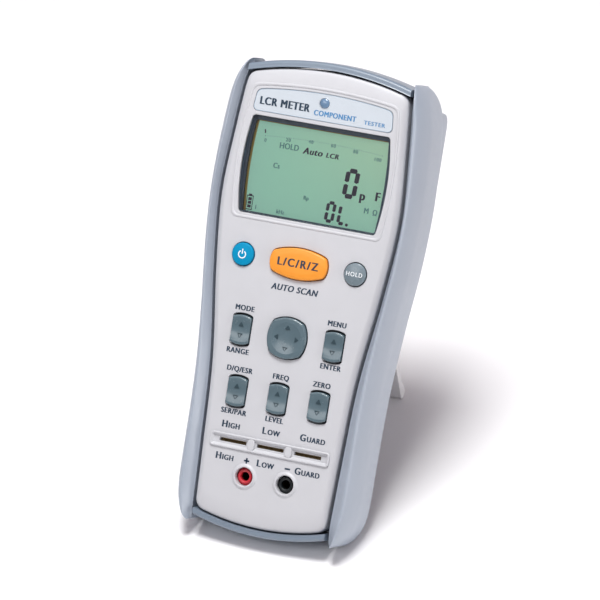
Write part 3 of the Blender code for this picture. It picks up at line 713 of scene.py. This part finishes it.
def add_opening(bm, outline_at, grow, edge=0.35, low=-4.0):
    """Cutter with straight walls that flare out at the surface, for an eased edge."""
    steps = [(low, 0.0), (-edge, 0.0), (-edge * 0.3, edge * 0.25), (0.0, edge * 0.8), (1.0, edge * 2.6)]
    add_loft(bm, [level(outline_at(grow + more), z) for z, more in steps])


FACE_ROLL = [  # height, and how far the sides and the ends have drawn in there
    (PARTING, 0.0, 0.0), (-2.3, 0.0, 0.0), (-1.75, 0.1, 0.12), (-1.3, 0.32, 0.45), (-0.95, 0.7, 1.1),
    (-0.66, 1.1, 2.2), (-0.42, 1.5, 3.6), (-0.22, 1.9, 5.2), (-0.07, 2.3, 7.0), (0.0, 2.8, 8.6),
]
COLLAR_SECTION = [  # radius and height round a socket
    (4.0, -2.5), (4.05, 0.4), (4.2, 0.66), (4.5, 0.75), (4.9, 0.64), (5.3, 0.35), (5.7, 0.06),
    (5.9, -0.3), (5.9, -2.1), (4.6, -2.5),
]
COLLAR_HOLE = 4.3


def front_shell():
    """White face: rolls down gently towards its ends, with every opening eased."""
    shell = loft([level(body_outline(-side, -ends), z) for z, side, ends in FACE_ROLL])
    hollow = bmesh.new()
    add_prism(hollow, body_outline(-SIDE_WALL, -SIDE_WALL), PARTING - 1.0, -FACE_WALL - 0.4)
    shell = carved(shell, hollow)
    collars = bmesh.new()
    holes = bmesh.new()
    add_opening(holes, window_outline, 0.0, 0.5)
    label_seat = [level(label_outline(g), z) for g, z in ((0.2, -0.8), (0.2, -0.1), (0.6, 0.5))]
    add_loft(holes, label_seat)
    add_opening(holes, function_outline, 0.0)
    add_opening(holes, pad_outline, 0.0)
    add_opening(holes, slot_block_outline, 0.04, 0.1)
    for centre in ROCKERS.values():
        add_opening(holes, lambda grow, c=centre: rocker_outline(c, grow), 0.0)
    for x in (-1, 1):
        key = (x * ROUND_KEY_X, KEY_ROW)
        add_opening(holes, lambda grow, c=key: circle(ROUND_KEY_RADIUS + grow, c), 0.0)
        socket = (x * SOCKET_X, SOCKET_ROW)
        add_prism(holes, circle(COLLAR_HOLE, socket), -4.0, 1.0)
        add_ring(collars, COLLAR_SECTION, socket)
    shell = carved(shell, holes)
    piece("face_shell", shell, "face_white", replaces=("front_cover",))
    piece("socket_collars", collars, "face_white")


def surround():
    """Raised line round the label and the window."""
    section = [
        (-0.62, -0.3), (-0.62, 0.05), (-0.45, 0.24), (-0.15, 0.34),
        (0.2, 0.34), (0.48, 0.22), (0.62, 0.0), (0.62, -0.3),
    ]
    piece("display_surround", moulding(surround_outline, section), "face_white")


FILM_PRINT = 0.1  # height of the print on the strip


def label():
    """Printed strip with a line round it and a small round lens."""
    strip = loft([level(label_outline(g), z) for g, z in ((0.0, -0.5), (0.0, 0.0), (-0.1, 0.05))])
    hole = bmesh.new()
    add_prism(hole, circle(2.35, LENS_CENTRE), -2.0, 1.0)
    piece("label_film", carved(strip, hole), "label_blue", replaces=("label_strip",))
    line = [(-0.22, 0.03), (-0.22, 0.08), (-0.02, 0.08), (-0.02, 0.03)]
    piece("label_line", moulding(label_outline, line), "ink_pale")
    dome = [(2.15, -2.0), (2.15, 0.05), (1.95, 0.24), (1.5, 0.42), (0.9, 0.55), (0.3, 0.6)]
    piece("lens_dome", turned(dome, LENS_CENTRE), "lens_blue", replaces=("indicator_lens",))
    ring = [(2.3, -0.3), (2.3, 0.16), (2.45, 0.2), (2.6, 0.1), (2.6, -0.3)]
    piece("lens_rim", add_ring(bmesh.new(), ring, LENS_CENTRE), "label_blue")
    words = bmesh.new()
    add_lettering(words, "LCR METER", 3.4, (-18.0, 101.6), FILM_PRINT, 0.24, squeeze=0.84)
    piece("label_words", words, "ink")
    small = bmesh.new()
    add_lettering(small, "COMPONENT", 2.3, (5.5, 100.3), FILM_PRINT, 0.14, squeeze=0.86)
    add_lettering(small, "TESTER", 1.7, (23.8, 99.7), FILM_PRINT, 0.08, squeeze=1.1)
    piece("label_small_words", small, "ink_blue")


# -------- display

GLASS_TOP = -3.9
MARK_Z = GLASS_TOP + 0.05
GLASS_LEDGE = 1.05  # strip of the glass's edge that shows at the left
GLASS_LAP = 0.4  # of the edge under the frame
SEGMENTS = {"0": "abcdef", "L": "def"}
SCALE_START, SCALE_LENGTH, SCALE_STEPS = -25.9, 54.1, 50
BATTERY_MARK = [  # low and high corners of its walls, its tip and the bars in it
    ((-29.9, 54.0), (-26.9, 54.4)), ((-29.9, 59.9), (-26.9, 60.3)),
    ((-29.9, 54.0), (-29.6, 60.3)), ((-27.2, 54.0), (-26.9, 60.3)),
    ((-29.1, 60.3), (-27.7, 60.9)), ((-29.2, 54.9), (-27.6, 56.2)),
    ((-29.2, 56.5), (-27.6, 57.8)), ((-29.2, 58.1), (-27.6, 59.4)),
]
FAINT_MARKS = [  # text, height, centre
    ("HOLD", 2.6, (-14.3, 83.7)), ("Cs", 2.3, (-18.7, 74.7)), ("M", 2.4, (25.0, 62.3)),
    ("Ω", 2.4, (29.0, 62.0)), ("1", 1.8, (-25.2, 55.6)), ("kHz", 1.8, (-13.7, 55.3)),
    ("Rp", 1.8, (-3.0, 63.2)),
]


def add_digit(bm, lit, centre, width, height, stroke, slant=0.05):
    """Seven-segment figure, made of mitred bars."""
    x, y, half = width / 2, height / 2, stroke / 2
    bars = {
        "a": ((-x, y), (x, y)), "b": ((x, y), (x, 0.0)), "c": ((x, 0.0), (x, -y)),
        "d": ((-x, -y), (x, -y)), "e": ((-x, 0.0), (-x, -y)), "f": ((-x, y), (-x, 0.0)),
    }
    for name in lit:
        start, end = (Vector(p) for p in bars[name])
        run = (end - start).normalized()
        across = Vector((-run.y, run.x))
        near, far = start + run * 0.4 * half, end - run * 0.4 * half
        mitre = run * 0.45 * half
        side = across * half
        outline = [near, near + mitre - side, far - mitre - side]
        outline += [far, far - mitre + side, near + mitre + side]
        outline = [(centre[0] + p.x + p.y * slant, centre[1] + p.y) for p in outline]
        add_prism(bm, outline, MARK_Z - PRINT_HEIGHT, MARK_Z + PRINT_HEIGHT)


def dark_marks():
    """Readings, their units and the battery sign."""
    bm = bmesh.new()
    add_digit(bm, SEGMENTS["0"], (16.25, 72.7), 4.4, 11.0, 2.0)
    add_digit(bm, SEGMENTS["0"], (8.9, 59.2), 3.0, 7.9, 1.45)
    add_digit(bm, SEGMENTS["L"], (14.6, 58.9), 2.8, 7.6, 1.45)
    add_prism(bm, circle(0.65, (17.1, 54.9), 16), MARK_Z - PRINT_HEIGHT, MARK_Z + PRINT_HEIGHT)
    add_lettering(bm, "p", 4.0, (22.2, 68.3), MARK_Z, 0.26)
    add_lettering(bm, "F", 3.8, (29.1, 68.9), MARK_Z, 0.24)
    add_lettering(bm, "Auto", 2.8, (-3.3, 83.2), MARK_Z, 0.18, slant=0.22, squeeze=0.98)
    add_lettering(bm, "LCR", 2.1, (5.8, 82.9), MARK_Z, 0.16, slant=0.15, squeeze=1.0)
    add_line(bm, (-26.1, 87.9), (-26.4, 89.5), 0.55, MARK_Z)
    for low, high in BATTERY_MARK:
        add_prism(bm, box_outline(low, high), MARK_Z - PRINT_HEIGHT, MARK_Z + PRINT_HEIGHT)
    piece("display_segments", bm, "segment")


def faint_marks():
    """Arched scale from 0 to 100, and the signs that are off."""
    bm = bmesh.new()
    for i in range(SCALE_STEPS + 1):
        x = SCALE_START + SCALE_LENGTH * i / SCALE_STEPS
        y = 86.8 + 1.2 * (1 - (2 * i / SCALE_STEPS - 1) ** 2)
        tall = 0.3 if i % 10 == 0 else 0.16
        tick = box_outline((x - 0.12, y - tall), (x + 0.12, y + tall))
        add_prism(bm, tick, MARK_Z - 0.02, MARK_Z + 0.02)
    for i in range(6):
        x = -25.6 + 10.4 * i
        y = 84.8 + 2.7 * (1 - (2 * i / 5 - 1) ** 2)
        add_lettering(bm, str(20 * i), 1.5, (x, y), MARK_Z, 0.07, squeeze=0.95, track=1.2)
    for text, size, centre in FAINT_MARKS:
        add_lettering(bm, text, size, centre, MARK_Z, 0.1, squeeze=0.85, track=1.05)
    piece("display_faint_marks", bm, "segment_faint")


def display():
    """Edge of the green glass, which shows at its left and top, and the marks on it."""
    bm = bmesh.new()
    side = [p for p in view_outline(GLASS_LAP) if p[0] < 3.0 - VIEW[0]]
    inner = [(x + GLASS_LAP + GLASS_LEDGE, y) for x, y in reversed(side)]
    half = VIEW[0] - VIEW_BOW
    top = box_outline((-half, VIEW[2] - GLASS_LAP), (half, VIEW[2] + GLASS_LAP))
    for strip in (side + inner, top):
        add_prism(bm, strip, GLASS_TOP + 0.01, GLASS_TOP + 0.1)
    piece("display_edge", bm, "lcd_edge")
    dark_marks()
    faint_marks()


# -------- controls

CAP_BOTTOM = -4.6
ROCKER_TOP = 1.4
SCOOP_DEPTH = 0.7  # of the hollow across a rocker key
SCOOP_HALF = 4.25  # from its middle to its ends, at the sides of the key
PAD_TOP = 1.6
BOWL_RADIUS = 7.0  # of the hollow in the pad
BOWL_DEPTH = 0.85
MARK_LIFT = 0.12  # of a mark over the deepest line of a hollow


def add_cap(bm, outline_at, top, edge, reach, crown=0.0):
    """Key cap: walls, a round edge, and a top that crowns up over its reach towards the middle."""
    rings = [level(outline_at(-KEY_GAP), CAP_BOTTOM), level(outline_at(-KEY_GAP), top - edge)]
    for a in spread(0.0, math.pi / 2, 7)[1:]:
        rings.append(level(outline_at(-KEY_GAP - edge * (1 - math.cos(a))), top - edge * (1 - math.sin(a))))
    for t in spread(0.0, 1.0, 7)[1:]:
        shift = crown * (1 - (1 - t) ** 2)
        rings.append(level(outline_at(-KEY_GAP - edge - reach * t), top + shift))
    add_loft(bm, rings)


def power_key():
    """Round key with the usual power symbol: an open ring and a short bar."""
    x, y = centre = (-ROUND_KEY_X, KEY_ROW)
    bm = bmesh.new()
    add_cap(bm, lambda g: circle(ROUND_KEY_RADIUS + g, centre, 64), 1.2, 0.6, 4.2, crown=0.35)
    piece("power_cap", bm, "key_cyan", "power_key", ("power_key",))
    icon = bmesh.new()
    arc = [math.radians(a) for a in spread(122, 418, 33)]
    ring = [(x + 1.85 * math.cos(a), y + 1.85 * math.sin(a) - 0.1) for a in arc]
    ring += [(x + 1.35 * math.cos(a), y + 1.35 * math.sin(a) - 0.1) for a in reversed(arc)]
    for outline in (ring, box_outline((x - 0.25, y + 0.1), (x + 0.25, y + 2.3))):
        add_prism(icon, outline, 1.4, 1.6)
    piece("power_mark", icon, "ink_white", "power_key")


def hold_key():
    centre = (ROUND_KEY_X, KEY_ROW)
    bm = bmesh.new()
    add_cap(bm, lambda g: circle(ROUND_KEY_RADIUS + g, centre, 64), 1.0, 0.6, 4.2, crown=0.6)
    piece("hold_cap", bm, "key_grey", "hold_key", ("hold_key",))
    words = bmesh.new()
    add_lettering(words, "HOLD", 1.9, centre, 1.57, 0.06, track=1.25)
    piece("hold_word", words, "ink_white", "hold_key")


def function_key():
    bm = bmesh.new()
    add_cap(bm, function_outline, 1.6, 0.7, 2.4, crown=0.3)
    piece("function_cap", bm, "key_orange", "function_key", ("function_key",))
    words = bmesh.new()
    add_lettering(words, "L/C/R/Z", 3.5, (0.0, KEY_ROW), 1.94, 0.2, squeeze=0.9, track=1.3)
    piece("function_word", words, "ink", "function_key")


def rocker_scoop(centre):
    """Cutter for the hollow across a rocker key."""
    rings = []
    for x in spread(-6.0, 6.0, 25):
        half = SCOOP_HALF + ROCKER_BOW * (1 - (x / ROCKER_HALF[0]) ** 2)
        arc = [(t * half, ROCKER_TOP - SCOOP_DEPTH * (1 - t * t)) for t in spread(-1.0, 1.0, 21)]
        arc = [(-half - 0.2, ROCKER_TOP + 0.07), *arc, (half + 0.2, ROCKER_TOP + 0.07)]
        arc += [(half + 0.2, 3.0), (-half - 0.2, 3.0)]
        rings.append([(centre[0] + x, centre[1] + y, z) for y, z in arc])
    return loft(rings)


def rocker_height(y):
    """Height for a mark in a rocker's hollow at this distance from its middle."""
    return ROCKER_TOP - SCOOP_DEPTH * (1 - (y / (SCOOP_HALF + ROCKER_BOW)) ** 2) + MARK_LIFT


def rocker_keys():
    """Rockers: a hollow across the middle, between a raised rim at either end."""
    for name, centre in ROCKERS.items():
        bm = bmesh.new()
        add_cap(bm, lambda g, c=centre: rocker_outline(c, g, ROCKER_END_GAP), ROCKER_TOP, 0.45, 0.6)
        scooped = carved(bm, rocker_scoop(centre))
        piece(name + "_cap", scooped, "key_teal", name, (name,), smooth=20.0)
        marks = bmesh.new()
        x, y = centre
        add_triangle(marks, (x, y + 2.3), 2.2, 0.0, rocker_height(2.3))
        add_triangle(marks, (x, y - 2.5), 2.2, 180.0, rocker_height(2.5), outlined=True)
        piece(name + "_marks", marks, "ink_teal", name)


def navigation_pad():
    """Four-way pad: a shallow bowl with a mark towards each side."""
    bm = bmesh.new()
    add_cap(bm, pad_outline, PAD_TOP, 0.6, 0.8)
    bowl = [(BOWL_RADIUS + 0.4, PAD_TOP + 1.2), (BOWL_RADIUS + 0.2, PAD_TOP + 0.06)]
    bowl += [(BOWL_RADIUS * t, PAD_TOP - BOWL_DEPTH * (1 - t * t)) for t in spread(1.0, 0.06, 14)]
    dished = carved(bm, turned(bowl, PAD_CENTRE, 72))
    piece("navigation_cap", dished, "key_teal", "navigation_pad", ("navigation_pad",))
    marks = bmesh.new()
    for turn in (0.0, 90.0, 180.0, 270.0):
        a = math.radians(turn + 90.0)
        centre = (PAD_CENTRE[0] + 4.7 * math.cos(a), PAD_CENTRE[1] + 4.7 * math.sin(a))
        add_triangle(marks, centre, 2.1, turn, 1.26, outlined=turn == 180.0)
    piece("navigation_marks", marks, "ink_teal", "navigation_pad")


# -------- test connections


BLOCK_SECTION = [  # height, and how far the outline has grown there
    (-7.0, 0.0), (0.3, 0.0), (0.6, -0.1), (0.78, -0.35), (0.82, -0.6), (0.74, -0.85),
    (0.5, -1.0), (-0.35, -1.55), (-0.5, -1.8),
]
SLOT_SECTION = [(-6.0, 0.0), (-0.8, 0.0), (-0.4, 0.25), (0.6, 0.9)]
DIVIDER_SECTION = [(-1.5, 0.0), (0.3, 0.0), (0.55, -0.12), (0.68, -0.35), (0.72, -0.7)]
SLEEVE_SECTION = [  # radius and height round a socket's bore
    (5.2, -7.0), (5.2, -2.6), (3.98, -2.6), (3.9, -2.2), (3.6, -1.95), (3.25, -1.75),
    (3.2, -1.3), (3.05, -1.0), (2.75, -0.85), (2.4, -0.88), (2.1, -1.05), (1.95, -1.35),
    (1.9, -1.8), (1.9, -3.0), (2.7, -3.2), (2.7, -7.0),
]


def slot_outline(x, grow=0.0):
    half_x, half_y = (half + grow for half in SLOT_HALF)
    return box_outline((x - half_x, SLOT_ROW - half_y), (x + half_x, SLOT_ROW + half_y))


def test_slots():
    """Raised frame with a sunken floor, three slots in it, and a divider between two slots."""
    block = loft([level(slot_block_outline(grow), z) for z, grow in BLOCK_SECTION])
    slots = bmesh.new()
    for x in (-SLOT_PITCH, 0.0, SLOT_PITCH):
        add_loft(slots, [level(slot_outline(x, grow), z) for z, grow in SLOT_SECTION])
    dividers = bmesh.new()
    for x in (-SLOT_PITCH / 2, SLOT_PITCH / 2):
        add_loft(dividers, [level(divider_outline(x, grow), z) for z, grow in DIVIDER_SECTION])
    piece("slot_rim", carved(block, slots), "face_white", replaces=("slot_block",))
    piece("slot_dividers", dividers, "face_white")


def sockets():
    for x, sign, finish in ((-SOCKET_X, "plus", "socket_red"), (SOCKET_X, "minus", "socket_black")):
        sleeve = add_ring(bmesh.new(), SLEEVE_SECTION, (x, SOCKET_ROW), 64)
        piece("socket_ring_" + sign, sleeve, finish, replaces=("socket_sleeve_" + sign,))


# -------- grips and bands


# Drops below the crest, at shares of the way from the lip to the crest, and from the flank to the crest
HOLLOW_DROPS = [
    (0.03, 4.3), (0.08, 4.1), (0.2, 3.75), (0.38, 2.95), (0.56, 1.95), (0.75, 0.95), (0.9, 0.25),
]
FLANK_DROPS = [(1.0, 0.0), (0.84, 0.25), (0.62, 1.7), (0.42, 3.8), (0.22, 7.0), (0.08, 10.5), (0.0, 14.0)]


def smooth_loop(points):
    """Points on, and halfway between, the points of a smooth closed curve."""
    out = []
    count = len(points)
    for i in range(count):
        a, b, c, d = (Vector(points[(i + k) % count]) for k in (-1, 0, 1, 2))
        out.append(b)
        out.append((9 * (b + c) - a - d) / 16)
    return out


def grip_section(y, side):
    """Points around a side grip at height y: lip, hollow, crest, flank and rear."""
    end = 0 if y < 0 else 1
    tip = (y - GRIP_ENDS[end]) * (1 if end == 0 else -1)
    slim = math.sqrt(1 - max(1 - tip / GRIP_TIP, 0.0) ** 2)
    thin = math.sqrt(1 - max(1 - tip / GRIP_REAR_ROUND, 0.0) ** 2)
    inner_tip = GRIP_TIP_CENTRE[end] - GRIP_TIP_HALF
    outer_tip = GRIP_TIP_CENTRE[end] + GRIP_TIP_HALF
    inner = inner_tip + (along(FACE_EDGE, y) + GROOVE - inner_tip) * thin
    outer = outer_tip + (along(GRIP_EDGE, y) - FLANK_TRIM - outer_tip) * slim
    front = GRIP_CROWN - GRIP_TIP_DROP[end] * (1 - thin)
    back = -DEPTH + GRIP_REAR_ROUND * (1 - thin)
    width = outer - inner
    low, high = CREST_SHIFT
    up = min(max((y - low) / (high - low), 0.0), 1.0)
    crest = (CREST_INSET[0] + (CREST_INSET[1] - CREST_INSET[0]) * up) * width
    lip = [(inner, back + 3.0), (inner, front - 6.0), (inner, front - 4.8)]
    hollow = [(inner + share * (width - crest), front - drop) for share, drop in HOLLOW_DROPS]
    flank = [(outer - share * crest, front - drop) for share, drop in FLANK_DROPS]
    corner = min(GRIP_REAR_CORNER, 0.6 * width)
    rear = []
    for a in spread(0.0, math.pi / 2, 5):
        rear.append((outer - corner * (1 - math.cos(a)), back + corner * (1 - math.sin(a))))
    rear += [(inner + 0.4, back), (inner, back + 0.4)]
    return [(side * p.x, y, p.y) for p in smooth_loop(lip + hollow + flank + rear)]


def side_grips():
    """Soft grips whose ends round off, so their sections crowd together there."""
    low, high = GRIP_ENDS
    ends = [GRIP_TIP * (1 - math.cos(a)) for a in spread(0.06, math.pi / 2, 14)[:-1]]
    places = [low + e for e in ends] + spread(low + GRIP_TIP, high - GRIP_TIP, 33)
    places += [high - e for e in reversed(ends)]
    for name, side in (("left", -1), ("right", 1)):
        bm = loft([grip_section(y, side) for y in places])
        piece("grip_skin_" + name, bm, "grip_blue_grey", replaces=("side_grip_" + name,), smooth=60.0)


def rear_pull(z, radius):
    """How far an end draws in at z, where the rear edge is rounded to this radius."""
    into = max(radius - DEPTH - z, 0.0)
    return radius - math.sqrt(max(radius**2 - into**2, 0.0))


BAND_SHOULDER = [(-3.2, 0.0), (-2.0, 0.08), (-1.2, 0.4), (-0.75, 0.95), (-0.7, 1.6)]
BAND_LIP = [(-0.78, 0.75), (-0.62, 0.4), (-0.5, 0.15), (-0.9, 0.0), (-4.0, 0.0)]


def end_bands():
    """Strips between the grips: a lip at the face, then a round shoulder that runs down the end."""
    outer = END_GROOVE + BAND
    for end, name in ((0, "bottom"), (1, "top")):
        radius = END_ROUND[end]
        limit = -DEPTH + radius - math.sqrt(radius**2 - (radius - BAND + 0.8) ** 2)
        section = [(z, outer - rear_pull(z, radius)) for z in spread(limit, -DEPTH + radius, 12)]
        section += [(z, outer - drop) for z, drop in BAND_SHOULDER]
        section += [(z, END_GROOVE + reach) for z, reach in BAND_LIP]
        section.append((limit, END_GROOVE))
        across = spread(-BAND_HALF[end], BAND_HALF[end], 41)
        rings = [[(x, end_line(x, end, reach), z) for z, reach in section] for x in across]
        replaced = ("end_band_" + name,)
        piece("band_skin_" + name, loft(rings), "band_blue_grey", replaces=replaced, smooth=50.0)


def rear_pieces():
    eased("hinge_block", 0.5, "grip_blue_grey")
    eased("battery_door", 0.5, "grip_blue_grey", "battery_door")
    eased("tilt_stand", 0.45, "stand_white", "tilt_stand")
    eased("rear_case", 0.4, "case_dark")


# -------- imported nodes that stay

NODE_FINISHES = {
    "window_clear": ["display_window"],
    "frame_navy": ["display_frame"],
    "lcd_green": ["lcd_glass"],
    "reflector": ["lcd_reflector"],
    "silicone": ["keypad_mat", "navigation_pivot"],
    "circuit_board": ["main_board"],
    "black_plastic": ["processor_chip", "buzzer", "battery_snap"],
    "fuse_glass": ["input_fuse"],
    "battery_wrap": ["battery"],
    "steel": ["stand_pin", "battery_door_screw"] + [f"case_screw_{i}" for i in (1, 2, 3, 4)],
    "brass": [
        "slot_contact_high", "slot_contact_low", "slot_contact_guard",
        "socket_barrel_plus", "socket_barrel_minus",
    ],
}


def finish_nodes():
    for finish, nodes in NODE_FINISHES.items():
        for node in nodes:
            mesh = frame["nodes"][node].data
            mesh.materials.clear()
            mesh.materials.append(finishes[finish])


# -------- studio

AIM = Vector((3.0, 19.8, 0.0))  # point of the face at the middle of the view
AZIMUTH = 24.11  # degrees, as are the elevation and the roll
ELEVATION = 35.09
ROLL = -3.79
DISTANCE = 1.9365
LENS = 270.0
SENSOR = 36.0
LIT_POINT = Vector((0.0, 0.0, 0.08))
SOFTBOXES = [  # name, place, size, watts
    ("overhead", (-0.03, -0.1, 1.5), (0.5, 0.5), 21.0),
    ("sheen", (-0.6, -1.32, 1.4), (1.0, 0.6), 5.0),
    ("side", (1.5, -0.3, 0.3), (0.3, 0.8), 7.0),
]
ROOM = {"From Min": 0.35, "From Max": 0.8, "To Min": 0.11, "To Max": 0.37}  # brightness by height
FLOOR_HALF = 6.0


def camera():
    data = bpy.data.cameras.new("camera")
    data.lens = LENS
    data.sensor_width = SENSOR
    data.clip_end = 20.0
    obj = bpy.data.objects.new("camera", data)
    bpy.context.collection.objects.link(obj)
    turn = Matrix.Rotation(math.radians(AZIMUTH), 4, "Z")
    tilt = Matrix.Rotation(math.radians(90.0 - ELEVATION), 4, "X")
    roll = Matrix.Rotation(math.radians(ROLL), 4, "Z")
    back = Matrix.Translation((0.0, 0.0, DISTANCE))
    obj.matrix_world = Matrix.Translation(FACE @ AIM) @ turn @ tilt @ roll @ back
    bpy.context.scene.camera = obj


def softbox(name, place, size, power):
    data = bpy.data.lights.new(name, "AREA")
    data.shape = "RECTANGLE"
    data.size, data.size_y = size
    data.energy = power
    obj = bpy.data.objects.new(name, data)
    bpy.context.collection.objects.link(obj)
    obj.location = place
    obj.rotation_euler = (LIT_POINT - Vector(place)).to_track_quat("-Z", "Y").to_euler()


def surroundings():
    """Dim room, slightly rosy, brighter overhead than at eye level."""
    world = bpy.data.worlds.new("studio")
    world.use_nodes = True
    tree = world.node_tree
    background = tree.nodes["Background"]
    background.inputs["Color"].default_value = (1.0, 0.86, 0.93, 1.0)
    place = tree.nodes.new("ShaderNodeTexCoord")
    split = tree.nodes.new("ShaderNodeSeparateXYZ")
    tree.links.new(place.outputs["Generated"], split.inputs["Vector"])
    height = tree.nodes.new("ShaderNodeMapRange")
    for name, value in ROOM.items():
        height.inputs[name].default_value = value
    tree.links.new(split.outputs["Z"], height.inputs["Value"])
    tree.links.new(height.outputs["Result"], background.inputs["Strength"])
    bpy.context.scene.world = world


def paper_floor():
    ground = bmesh.new()
    corners = [ground.verts.new((x * FLOOR_HALF, y * FLOOR_HALF, 0.0)) for x, y in CORNERS]
    ground.faces.new(corners)
    mesh = bpy.data.meshes.new("floor")
    ground.to_mesh(mesh)
    ground.free()
    paper = Finish("floor", (0.95, 0.95, 0.955), 0.9)
    paper.mottle(120.0, 0.01)
    mesh.materials.append(paper.material)
    floor = bpy.data.objects.new("floor", mesh)
    bpy.context.collection.objects.link(floor)


def studio():
    paper_floor()
    surroundings()
    for name, place, size, power in SOFTBOXES:
        softbox(name, place, size, power)
    bpy.context.scene.view_settings.view_transform = "Standard"


front_shell()
surround()
label()
display()
face_legends()
power_key()
hold_key()
function_key()
rocker_keys()
navigation_pad()
test_slots()
sockets()
side_grips()
end_bands()
rear_pieces()
finish_nodes()
camera()
studio()
